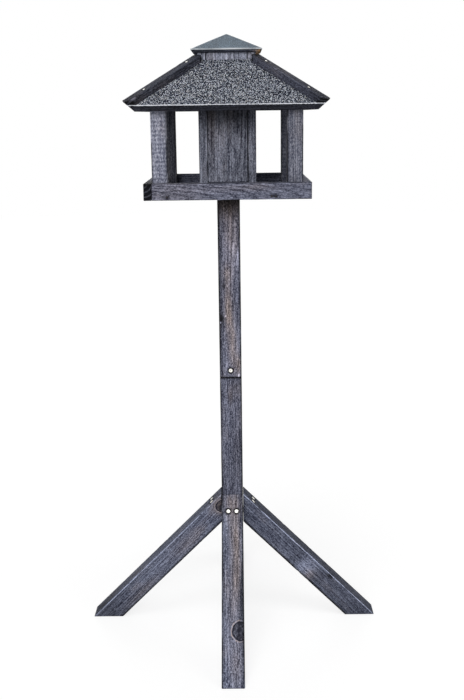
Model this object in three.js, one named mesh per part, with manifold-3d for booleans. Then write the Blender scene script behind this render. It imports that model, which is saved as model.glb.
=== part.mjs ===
// Bird table: a post on four splayed legs carries a feeding tray, a seed silo and a felted hip roof.
// Millimetres, +Z up. The origin lies on the ground, on the axis of the post.

import * as THREE from 'three';
import { mergeVertices } from 'three/addons/utils/BufferGeometryUtils.js';
import Module from 'manifold-3d';

const wasm = await Module();
wasm.setup();

const degree = Math.PI / 180;
const quarterTurn = Math.PI / 2;

// Fits and facets
const clearance = 0.3;
const overrun = 60;
const roundSides = 16;

// Stand: a square post in two lengths and four splayed legs, all of one stock
const stockSide = 45;
const timberArris = 1.5;
const postJointHeight = 538;
const postFootDrop = 30;
const legReach = 306;
const legAngle = 45 * degree;
const dowelDiameter = 22;
const dowelLength = 80;

// Tray, which rests on the top of the post
const trayBaseHeight = 912;
const trayWidth = 310;
const railHeight = 31;
const railThickness = 15;
const floorThickness = 12;
const cornerPostSide = 30;
const boardArris = 0.8;

// Seed silo, which stands on the tray floor and runs up through the roof
const siloWidth = 110;
const siloBoardThickness = 16;
const feedSlotHeight = 14;
const collarReveal = 4.1;

// Roof: its overhang and rise are those of the upper edge of the felt at the eaves
const roofOverhang = 22;
const eaveRise = 171;
const roofSlope = 34 * degree;
const eaveLean = 47 * degree;
const feltThickness = 2.2;
const roofBoardThickness = 14;
const lathWidth = 23;
const lathCrown = 8.2;

// Lid of the silo
const lidOverhang = 12;
const lidRise = 31;
const lidLip = 2.5;
const lidSheet = 1.2;
const lidBaseInset = 3;
const lidBaseThickness = 6;
const lidBlockPlay = 4;
const lidBlockDepth = 12;

// Screws and nails: each lies along its own -Z, with the top of its head at the origin
const nailBite = 10.3;
const legScrew = { head: 8, rim: 0.5, cone: 2.2, shank: 4, length: 60, point: 6, sink: 1 };
const postScrew = { ...legScrew, length: (stockSide + dowelDiameter / 2) / 2, point: 5 };
const floorScrew = { ...legScrew, length: 50, sink: 0.5 };
const lathNail = {
  head: 4.6, rim: 0.6, cone: 0.4, shank: 2, point: 3, sink: 0,
  length: lathCrown + feltThickness + clearance + nailBite,
};
const recessWidth = 1.1;
const recessSpan = 4.4;
const recessDepth = 1.4;
const legScrewSpacing = 17;
const frontScrewReach = 27.5;
const sideScrewReach = 22.5;
const postScrewRise = 15;
const floorScrewSpacing = 24;
const nailPlaceShares = { low: 0.29, high: 0.87 };

// Heights and half widths that several pieces share
const stockHalf = stockSide / 2;
const siloHalf = siloWidth / 2;
const roofHalf = trayWidth / 2 + roofOverhang;
const legSeatHeight = (legReach - stockHalf) * Math.tan(legAngle) - stockSide / Math.cos(legAngle);
const postFootHeight = legSeatHeight - postFootDrop;
const floorTopHeight = trayBaseHeight + floorThickness;
const trayInnerHalf = trayWidth / 2 - railThickness;
const eaveHeight = trayBaseHeight + eaveRise;
const boardDepth = feltThickness + clearance;
const hipFall = Math.atan(Math.tan(roofSlope) / Math.SQRT2);

// Depths are measured square to the roof, down from the upper face of the felt.
const roofHeightAt = (radius, depth) =>
  eaveHeight + (roofHalf - radius) * Math.tan(roofSlope) - depth / Math.cos(roofSlope);
const siloTopHeight = roofHeightAt(siloHalf, 0) + lathCrown / Math.cos(hipFall) + collarReveal;

// The four sides, in quarter turns about +Z from the front, and the corner at the left end of each
const sides = [
  { name: 'front', turns: 0, corner: 'front_left', screwReach: frontScrewReach },
  { name: 'right', turns: 1, corner: 'front_right', screwReach: sideScrewReach },
  { name: 'back', turns: 2, corner: 'back_right', screwReach: frontScrewReach },
  { name: 'left', turns: 3, corner: 'back_left', screwReach: sideScrewReach },
];

// Colours of the stained timber, bare wood, felt, sheet and steel
const material = (color, roughness, metalness) =>
  new THREE.MeshStandardMaterial({ color, roughness, metalness });
const postStain = () => material(0x6a6a76, 0.8, 0);
const legStain = () => material(0x63677a, 0.8, 0);
const trayStain = () => material(0x62636f, 0.8, 0);
const siloStain = () => material(0x565864, 0.8, 0);
const roofStain = () => material(0x46464f, 0.85, 0);
const felt = () => material(0x6a6e79, 0.95, 0);
const bareWood = () => material(0x8b6b4c, 0.8, 0);
const sheet = () => material(0x737e8a, 0.55, 0.3);
const steel = () => material(0xc9c6bd, 0.35, 0.9);

// Solids are joined and cut as manifolds, from geometry whose shared corners are merged.
function toSolid(geometry) {
  const plain = geometry.clone();
  plain.deleteAttribute('normal');
  plain.deleteAttribute('uv');
  const merged = mergeVertices(plain);
  const corners = merged.index.array;
  const triangles = [];
  for (let i = 0; i < corners.length; i += 3) {
    const [a, b, c] = [corners[i], corners[i + 1], corners[i + 2]];
    if (a !== b && b !== c && c !== a) triangles.push(a, b, c);
  }
  return new wasm.Manifold(new wasm.Mesh({
    numProp: 3,
    vertProperties: merged.attributes.position.array,
    triVerts: new Uint32Array(triangles),
  }));
}

function toGeometry(solid) {
  const mesh = solid.getMesh();
  const geometry = new THREE.BufferGeometry();
  geometry.setAttribute('position', new THREE.BufferAttribute(mesh.vertProperties, 3));
  geometry.setIndex(new THREE.BufferAttribute(mesh.triVerts, 1));
  geometry.computeVertexNormals();
  return geometry;
}

const cutBy = (geometry, tools) => toGeometry(
  tools.reduce((solid, tool) => solid.subtract(toSolid(tool)), toSolid(geometry)));
const keepWithin = (geometry, limits) => toGeometry(
  limits.reduce((solid, limit) => solid.intersect(toSolid(limit)), toSolid(geometry)));

function piece(name, geometry, finish) {
  const mesh = new THREE.Mesh(toGeometry(toSolid(geometry)), finish);
  mesh.name = name;
  return mesh;
}

const turned = (geometry, turns) => geometry.clone().rotateZ(turns * quarterTurn);

// A stick of timber along +Z from the origin, with its four long edges eased.
function timber(width, depth, length, arris) {
  const x = width / 2;
  const y = depth / 2;
  const outline = new THREE.Shape();
  outline.moveTo(-x + arris, -y);
  outline.lineTo(x - arris, -y);
  outline.lineTo(x, -y + arris);
  outline.lineTo(x, y - arris);
  outline.lineTo(x - arris, y);
  outline.lineTo(-x + arris, y);
  outline.lineTo(-x, y - arris);
  outline.lineTo(-x, -y + arris);
  outline.closePath();
  return new THREE.ExtrudeGeometry(outline, { depth: length, bevelEnabled: false });
}

// A square block that widens from one half width to another between two heights.
function frustum(lowHalf, highHalf, low, high) {
  const block = new THREE.CylinderGeometry(
    highHalf * Math.SQRT2, lowHalf * Math.SQRT2, high - low, 4);
  return block.rotateY(quarterTurn / 2).rotateX(quarterTurn).translate(0, 0, (low + high) / 2);
}

// Fasteners
function turnedProfile(points) {
  const outline = points.map(([radius, height]) => new THREE.Vector2(radius, height));
  return new THREE.LatheGeometry(outline, roundSides).rotateX(quarterTurn);
}

function fastener({ head, rim, cone, shank, length, point }) {
  return turnedProfile([
    [0, -length],
    [shank / 2, point - length],
    [shank / 2, -rim - cone],
    [head / 2, -rim],
    [head / 2, 0],
    [0, 0],
  ]);
}

function crossRecess() {
  const slot = new THREE.BoxGeometry(recessSpan, recessWidth, recessDepth * 2);
  return [slot, turned(slot, 1)];
}

const screwBody = (size) => cutBy(fastener(size), crossRecess());

function fastenerHole({ head, rim, cone, shank, length }) {
  return turnedProfile([
    [0, -length - clearance],
    [shank / 2 + clearance, -length - clearance],
    [shank / 2 + clearance, -rim - cone - clearance],
    [head / 2 + clearance, -rim - clearance],
    [head / 2 + clearance, overrun],
    [0, overrun],
  ]);
}

// A place for a fastener: a point on the wood's surface and the direction it is driven in.
function drivenAt(surfacePoint, into, size) {
  const position = surfacePoint.clone().addScaledVector(into, size.sink);
  const quaternion = new THREE.Quaternion().setFromUnitVectors(new THREE.Vector3(0, 0, -1), into);
  const matrix = new THREE.Matrix4().compose(position, quaternion, new THREE.Vector3(1, 1, 1));
  return { position, quaternion, hole: fastenerHole(size).applyMatrix4(matrix) };
}

function placed(name, geometry, place) {
  const mesh = piece(name, geometry, steel());
  mesh.position.copy(place.position);
  mesh.quaternion.copy(place.quaternion);
  return mesh;
}

// Leg screws of the front leg: a pair, square to its upper face and on into the post.
function legScrewPlaces(screwReach) {
  const height = (legReach - stockHalf - screwReach) * Math.tan(legAngle);
  const into = new THREE.Vector3(0, Math.sin(legAngle), -Math.cos(legAngle));
  return [-legScrewSpacing / 2, legScrewSpacing / 2].map((x) =>
    drivenAt(new THREE.Vector3(x, -stockHalf - screwReach, height), into, legScrew));
}

function postScrewPlace() {
  const surface = new THREE.Vector3(0, -stockHalf, postJointHeight + postScrewRise);
  return drivenAt(surface, new THREE.Vector3(0, 1, 0), postScrew);
}

function floorScrewPlaces() {
  return [-floorScrewSpacing / 2, floorScrewSpacing / 2].map((x) =>
    drivenAt(new THREE.Vector3(x, 0, floorTopHeight), new THREE.Vector3(0, 0, -1), floorScrew));
}

// Stand
function dowelHole() {
  const radius = (dowelDiameter / 2 + clearance) / Math.cos(Math.PI / roundSides);
  const hole = new THREE.CylinderGeometry(radius, radius, dowelLength + 2 * clearance, roundSides);
  return hole.rotateX(quarterTurn).translate(0, 0, postJointHeight);
}

function lowerPost() {
  const top = postJointHeight - clearance / 2;
  const bar = timber(stockSide, stockSide, top - postFootHeight, timberArris);
  const screwHoles = sides.flatMap(({ turns, screwReach }) =>
    legScrewPlaces(screwReach).map(({ hole }) => turned(hole, turns)));
  return cutBy(bar.translate(0, 0, postFootHeight), [dowelHole(), ...screwHoles]);
}

function upperPost() {
  const foot = postJointHeight + clearance / 2;
  const bar = timber(stockSide, stockSide, trayBaseHeight - clearance - foot, timberArris);
  const screwHoles = [postScrewPlace(), ...floorScrewPlaces()].map(({ hole }) => hole);
  return cutBy(bar.translate(0, 0, foot), [dowelHole(), ...screwHoles]);
}

function dowel() {
  const radius = dowelDiameter / 2;
  const rod = new THREE.CylinderGeometry(radius, radius, dowelLength, roundSides);
  rod.rotateX(quarterTurn).translate(0, 0, postJointHeight);
  return cutBy(rod, [postScrewPlace().hole]);
}

// The front leg: its upper face meets the ground at legReach from the axis of the post.
function frontLeg(screwReach) {
  const sine = Math.sin(legAngle);
  const cosine = Math.cos(legAngle);
  const length = legReach / cosine;
  const bar = timber(stockSide, stockSide, length + 2 * overrun, timberArris);
  bar.translate(0, stockHalf, -overrun).rotateX(legAngle - quarterTurn);
  bar.translate(0, -legReach, 0);
  const reachBeyond = length + overrun;
  const ground = new THREE.BoxGeometry(reachBeyond, 2 * reachBeyond, reachBeyond);
  ground.translate(0, 0, -reachBeyond / 2);
  const postFace = new THREE.BoxGeometry(reachBeyond, reachBeyond, 2 * reachBeyond);
  postFace.translate(0, reachBeyond / 2 - stockHalf - clearance, reachBeyond * sine);
  return cutBy(bar, [ground, postFace, ...legScrewPlaces(screwReach).map(({ hole }) => hole)]);
}

function addStand(table) {
  table.add(piece('post_lower', lowerPost(), postStain()));
  table.add(piece('post_upper', upperPost(), postStain()));
  table.add(piece('post_dowel', dowel(), bareWood()));
  table.add(placed('post_screw', screwBody(postScrew), postScrewPlace()));
  for (const { name, turns, screwReach } of sides) {
    const side = new THREE.Group();
    side.rotation.z = turns * quarterTurn;
    side.add(piece(`leg_${name}`, frontLeg(screwReach), legStain()));
    legScrewPlaces(screwReach).forEach((place, i) =>
      side.add(placed(`leg_screw_${name}_${i + 1}`, screwBody(legScrew), place)));
    table.add(side);
  }
}

// Tray: the rails lap in turn, so each one covers the end of the next at its right-hand end.
function trayFloor() {
  const width = 2 * (trayInnerHalf - clearance);
  const slab = new THREE.BoxGeometry(width, width, floorThickness);
  slab.translate(0, 0, trayBaseHeight + floorThickness / 2);
  return cutBy(slab, floorScrewPlaces().map(({ hole }) => hole));
}

function frontRail() {
  const length = trayWidth - railThickness - clearance;
  const rail = timber(railHeight, railThickness, length, boardArris);
  rail.rotateY(quarterTurn);
  return rail.translate(trayWidth / 2 - length, (railThickness - trayWidth) / 2,
    trayBaseHeight + railHeight / 2);
}

function eavePoint(depth) {
  const along = depth / Math.cos(eaveLean - roofSlope);
  return [roofHalf - along * Math.sin(eaveLean), eaveHeight - along * Math.cos(eaveLean)];
}

// The eaves are cut on one slant all round: the space inside that slant, up to a height.
function spaceWithinEaves(top) {
  const low = eaveHeight - overrun;
  const halfAt = (height) => roofHalf + (height - eaveHeight) * Math.tan(eaveLean);
  return frustum(halfAt(low), halfAt(top), low, top);
}

// Everything below the roof boards, as a solid to trim the tops of the corner posts.
function spaceUnderRoof() {
  const depth = boardDepth + roofBoardThickness + clearance;
  const top = roofHeightAt(siloHalf, depth);
  const spread = (top - trayBaseHeight) / Math.tan(roofSlope);
  return frustum(siloHalf + spread, siloHalf, trayBaseHeight, top);
}

function frontLeftCornerPost() {
  const centre = trayInnerHalf - clearance - cornerPostSide / 2;
  const foot = floorTopHeight + clearance;
  const bar = timber(cornerPostSide, cornerPostSide, eaveHeight + overrun - foot, timberArris);
  return keepWithin(bar.translate(-centre, -centre, foot), [spaceUnderRoof()]);
}

function addTray(table) {
  table.add(piece('tray_floor', trayFloor(), trayStain()));
  floorScrewPlaces().forEach((place, i) =>
    table.add(placed(`floor_screw_${i + 1}`, screwBody(floorScrew), place)));
  for (const { name, turns, corner } of sides) {
    const side = new THREE.Group();
    side.rotation.z = turns * quarterTurn;
    side.add(piece(`tray_rail_${name}`, frontRail(), trayStain()));
    side.add(piece(`corner_post_${corner}`, frontLeftCornerPost(), trayStain()));
    table.add(side);
  }
}

// Silo: the front and back boards stand between the side boards, clear of the floor.
function siloFrontBoard() {
  const width = siloWidth - 2 * (siloBoardThickness + clearance);
  const foot = floorTopHeight + feedSlotHeight;
  const board = timber(width, siloBoardThickness, siloTopHeight - foot, boardArris);
  return board.translate(0, siloBoardThickness / 2 - siloHalf, foot);
}

function siloSideBoard() {
  const foot = floorTopHeight + clearance;
  const board = timber(siloWidth, siloBoardThickness, siloTopHeight - foot, boardArris);
  return board.translate(0, siloBoardThickness / 2 - siloHalf, foot);
}

function addSilo(table) {
  for (const { name, turns } of sides) {
    const side = new THREE.Group();
    side.rotation.z = turns * quarterTurn;
    const board = turns % 2 === 0 ? siloFrontBoard() : siloSideBoard();
    side.add(piece(`silo_board_${name}`, board, siloStain()));
    table.add(side);
  }
}

// A plate on the front slope, mitred at both hips. Its profile runs clockwise, seen from the right
// with the front to the left, as pairs of the distance from the axis and the height.
function hipPlate(profile) {
  const mitre = clearance / Math.SQRT2;
  const positions = profile.flatMap(([radius, height]) =>
    [mitre - radius, -radius, height, radius - mitre, -radius, height]);
  const count = profile.length;
  const triangles = [];
  for (let i = 0; i < count; i += 1) {
    const [left, right] = [2 * i, 2 * i + 1];
    const [nextLeft, nextRight] = [2 * ((i + 1) % count), 2 * ((i + 1) % count) + 1];
    triangles.push(left, right, nextRight, left, nextRight, nextLeft);
    if (i > 0 && i < count - 1) {
      triangles.push(0, left, nextLeft, 1, nextRight, right);
    }
  }
  const plate = new THREE.BufferGeometry();
  plate.setAttribute('position', new THREE.Float32BufferAttribute(positions, 3));
  plate.setIndex(triangles);
  return plate;
}

function roofLayer(depth, thickness) {
  const inner = siloHalf + clearance;
  const low = depth + thickness;
  const profile = [
    eavePoint(depth),
    [inner, roofHeightAt(inner, depth)],
    [inner, roofHeightAt(inner, low)],
    eavePoint(low),
  ];
  const nailHoles = lathNailPlaces().map(({ hole }) => hole);
  return cutBy(hipPlate(profile), [...nailHoles, ...nailHoles.map((hole) => turned(hole, 1))]);
}

// Hip laths lie over the front left hip: across is level, out is square to the hip and upward.
const across = new THREE.Vector3(1, -1, 0).normalize();
const out = new THREE.Vector3(-1, -1, Math.SQRT2 / Math.tan(hipFall)).normalize();
const downHip = new THREE.Vector3().crossVectors(across, out);

function hipPoint(radius) {
  return new THREE.Vector3(-radius, -radius, roofHeightAt(radius, 0));
}

const lathTipRadius = eavePoint(-lathCrown)[0];
const lathTopRadius = siloHalf + clearance;

function lathNailPlaces() {
  const into = out.clone().negate();
  return Object.values(nailPlaceShares).map((share) => {
    const radius = lathTipRadius + (lathTopRadius - lathTipRadius) * share;
    return drivenAt(hipPoint(radius).addScaledVector(out, lathCrown), into, lathNail);
  });
}

function lathSection() {
  const half = lathWidth / 2;
  const grooveTop = clearance / Math.cos(Math.atan(Math.sin(hipFall)));
  const grooveFoot = grooveTop - half * Math.sin(hipFall);
  const outline = new THREE.Shape();
  outline.moveTo(0, grooveTop);
  outline.lineTo(half, grooveFoot);
  outline.lineTo(half, lathCrown - boardArris);
  outline.lineTo(half - boardArris, lathCrown);
  outline.lineTo(boardArris - half, lathCrown);
  outline.lineTo(-half, lathCrown - boardArris);
  outline.lineTo(-half, grooveFoot);
  outline.closePath();
  return outline;
}

function frontLeftLath() {
  const start = hipPoint(siloHalf / 2);
  const end = hipPoint(roofHalf + overrun);
  const length = start.distanceTo(end);
  const bar = new THREE.ExtrudeGeometry(lathSection(), { depth: length, bevelEnabled: false });
  const placing = new THREE.Matrix4().makeBasis(across, out, downHip).setPosition(start);
  bar.applyMatrix4(placing);
  const peak = roofHeightAt(0, -overrun);
  const collar = new THREE.BoxGeometry(2 * siloWidth, 2 * siloWidth, 2 * peak);
  collar.translate(siloWidth - lathTopRadius * Math.SQRT2, 0, 0).rotateZ(quarterTurn / 2);
  const trimmed = keepWithin(bar, [spaceWithinEaves(peak)]);
  return cutBy(trimmed, [collar, ...lathNailPlaces().map(({ hole }) => hole)]);
}

function addRoof(table) {
  for (const { name, turns, corner } of sides) {
    const side = new THREE.Group();
    side.rotation.z = turns * quarterTurn;
    side.add(piece(`roof_board_${name}`, roofLayer(boardDepth, roofBoardThickness), roofStain()));
    side.add(piece(`roof_felt_${name}`, roofLayer(0, feltThickness), felt()));
    side.add(piece(`hip_lath_${corner}`, frontLeftLath(), roofStain()));
    lathNailPlaces().forEach((place, i) =>
      side.add(placed(`lath_nail_${corner}_${i + 1}`, fastener(lathNail), place)));
    table.add(side);
  }
}

// Lid: a folded sheet cover over a wooden base, with a block that drops into the silo.
const lidHalf = siloHalf + lidOverhang;
const lidBaseHalf = lidHalf - lidBaseInset;
const lidBaseFoot = siloTopHeight + clearance;
const lidBaseTop = lidBaseFoot + lidBaseThickness;

function lidBase() {
  const slab = timber(2 * lidBaseHalf, 2 * lidBaseHalf, lidBaseThickness, boardArris);
  return slab.translate(0, 0, lidBaseFoot);
}

function lidBlock() {
  const width = siloWidth - 2 * (siloBoardThickness + lidBlockPlay);
  const block = timber(width, width, lidBlockDepth, timberArris);
  return block.translate(0, 0, lidBaseFoot - clearance - lidBlockDepth);
}

// The cover's inner face bears on the upper edge of the base.
function lidCover() {
  const slope = Math.atan(lidRise / lidHalf);
  const drop = lidSheet / Math.cos(slope);
  const edge = lidBaseTop + clearance + drop - lidRise + lidBaseHalf * Math.tan(slope);
  const innerHalf = lidHalf - lidSheet;
  const innerTop = edge + lidRise - drop;
  const profile = [
    [0, innerTop],
    [innerHalf, innerTop - innerHalf * Math.tan(slope)],
    [innerHalf, edge - lidLip],
    [lidHalf, edge - lidLip],
    [lidHalf, edge],
    [0, edge + lidRise],
  ];
  const outline = profile.map(([radius, height]) => new THREE.Vector2(radius * Math.SQRT2, height));
  const cover = new THREE.LatheGeometry(outline, 4);
  return cover.rotateY(quarterTurn / 2).rotateX(quarterTurn);
}

function addLid(table) {
  const lid = new THREE.Group();
  lid.add(piece('lid_cover', lidCover(), sheet()));
  lid.add(piece('lid_base', lidBase(), roofStain()));
  lid.add(piece('lid_block', lidBlock(), bareWood()));
  table.add(lid);
}

const table = new THREE.Group();
addStand(table);
addTray(table);
addSilo(table);
addRoof(table);
addLid(table);

export default table;
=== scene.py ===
"""A bird table of stained timber: finer boards, felt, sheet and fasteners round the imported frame."""

import math
import random
from collections import namedtuple

import bmesh
import bpy
from bpy.props import FloatProperty, FloatVectorProperty, PointerProperty
from mathutils import Matrix, Vector, noise


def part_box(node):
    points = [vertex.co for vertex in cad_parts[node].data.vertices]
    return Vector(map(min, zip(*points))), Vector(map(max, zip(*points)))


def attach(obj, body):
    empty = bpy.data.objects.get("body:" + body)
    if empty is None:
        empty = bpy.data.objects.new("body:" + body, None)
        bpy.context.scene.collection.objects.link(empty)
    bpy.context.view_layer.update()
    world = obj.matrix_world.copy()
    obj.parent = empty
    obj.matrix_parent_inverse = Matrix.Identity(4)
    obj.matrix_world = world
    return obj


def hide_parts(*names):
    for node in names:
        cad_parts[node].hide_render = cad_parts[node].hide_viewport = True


bl_info = {
    "name": "Bird table",
    "version": (1, 0, 0),
    "blender": (4, 5, 0),
    "location": "View3D > Sidebar > Bird table",
    "description": "Dresses a stained timber bird table with a felted roof and a sheet lid",
    "category": "Add Mesh",
}

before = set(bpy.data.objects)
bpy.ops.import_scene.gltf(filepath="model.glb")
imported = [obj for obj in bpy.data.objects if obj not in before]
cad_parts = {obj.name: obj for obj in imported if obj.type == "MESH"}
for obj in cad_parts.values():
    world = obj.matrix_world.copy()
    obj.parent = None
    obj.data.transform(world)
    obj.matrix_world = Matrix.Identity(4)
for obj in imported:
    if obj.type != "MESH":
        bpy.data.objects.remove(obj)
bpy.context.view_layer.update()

MM = 0.001
SIDES = ("front", "right", "back", "left")
CORNERS = ("front_left", "front_right", "back_right", "back_left")

# Roof: the slopes that the frame's boxes don't give
ROOF_SLOPE = math.radians(34)
EAVE_LEAN = math.radians(47)
FELT_THICKNESS = 2.2 * MM
BOARD_DEPTH = 2.5 * MM
BOARD_THICKNESS = 14 * MM
MITRE_GAP = 0.21 * MM
LATH_WIDTH = 23 * MM
LATH_CROWN = 8.2 * MM
LATH_LIFT = 0.3 * MM
HIP_FALL = math.atan(math.tan(ROOF_SLOPE) / math.sqrt(2))

# Lid: a folded sheet
LID_SHEET = 1.2 * MM
LID_LIP = 2.5 * MM
LID_RISE = 31 * MM
LID_HIP_ROUND = 2.4 * MM

# Screws, nails and brads, as radii, widths and depths below the top of the head
HEAD_FLAT = 0.05 * MM
SCREW_HEAD = 4 * MM
SCREW_RIM = 0.5 * MM
SCREW_CONE = 2.2 * MM
SCREW_SHANK = 2 * MM
SCREW_POINT = 6 * MM
CROSS_WIDTH = 1.1 * MM
CROSS_SPAN = 4.6 * MM
CROSS_DEPTH = 1.8 * MM
CROSS_RISE = 0.4 * MM
NAIL_HEAD = 2.3 * MM
NAIL_SHANK = 1 * MM
BRAD_HEAD = 1 * MM
BRAD_HOLE = 1.5 * MM
BRAD_SINK = 1.2 * MM
BRAD_LENGTH = 20 * MM
BRAD_STEPS = 16
BRAD_ROUGHNESS = 0.7
BRAD_PROFILE = (
    (0, 0), (BRAD_HEAD * 0.8, 0), (BRAD_HEAD, -0.2 * MM), (BRAD_HEAD, -0.6 * MM),
    (BRAD_HEAD * 0.7, -0.9 * MM), (BRAD_HEAD * 0.7, -BRAD_LENGTH), (0, -BRAD_LENGTH),
)
HOLE_PLAY = 0.55 * MM
HOLE_MOUTH = 12 * MM
BORE_DEPTH = 30 * MM
ROUND_STEPS = 32
SHARP_ANGLE = math.radians(38)

# Wear of the planed timber: how many sorts there are, mm between dips and between knocks, and
# the noise that knocks take to show
SEEDS = 997
DIP_SPAN = 38
KNOCK_SPAN = 8.5
KNOCK_FLOOR = 0.3

# Painted shade: the share of light that a full dark tint leaves, and how wide the painted shade round
# a hole is
GLOOM_LIGHT = 0.21
PIT_SHADE = 0.7
FULL_PIT = 2.2 * MM

# Saw marks across the rough posts, in radians a metre along the grain
SAW_MARKS = 785.0

# Places of the brads along each rail, from its middle, as they show on the front one
BRAD_PLACES = {
    "front": (-112 * MM, 81 * MM, 88.5 * MM),
    "right": (-104 * MM, 98 * MM),
    "back": (-96 * MM, 6 * MM, 107 * MM),
    "left": (-109 * MM, 92 * MM),
}

# Tints painted on a piece: where, how far, and how strongly, in mm from the middle of the
# piece. x and y run across it and z along its grain. Brown tints are the stain worn thin; many dark
# tints are painted shade and some pale ones painted light, where a piece stands in shade or light,
# beside real dark and pale marks.
Patch = namedtuple("Patch", "tint at reach strength")


def overall(strength, across=90):
    """A dark tint over a whole piece: painted shade where the piece stands in shade."""
    return Patch("dark", (0, 0, 0), (across, across, 900), strength)


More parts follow.
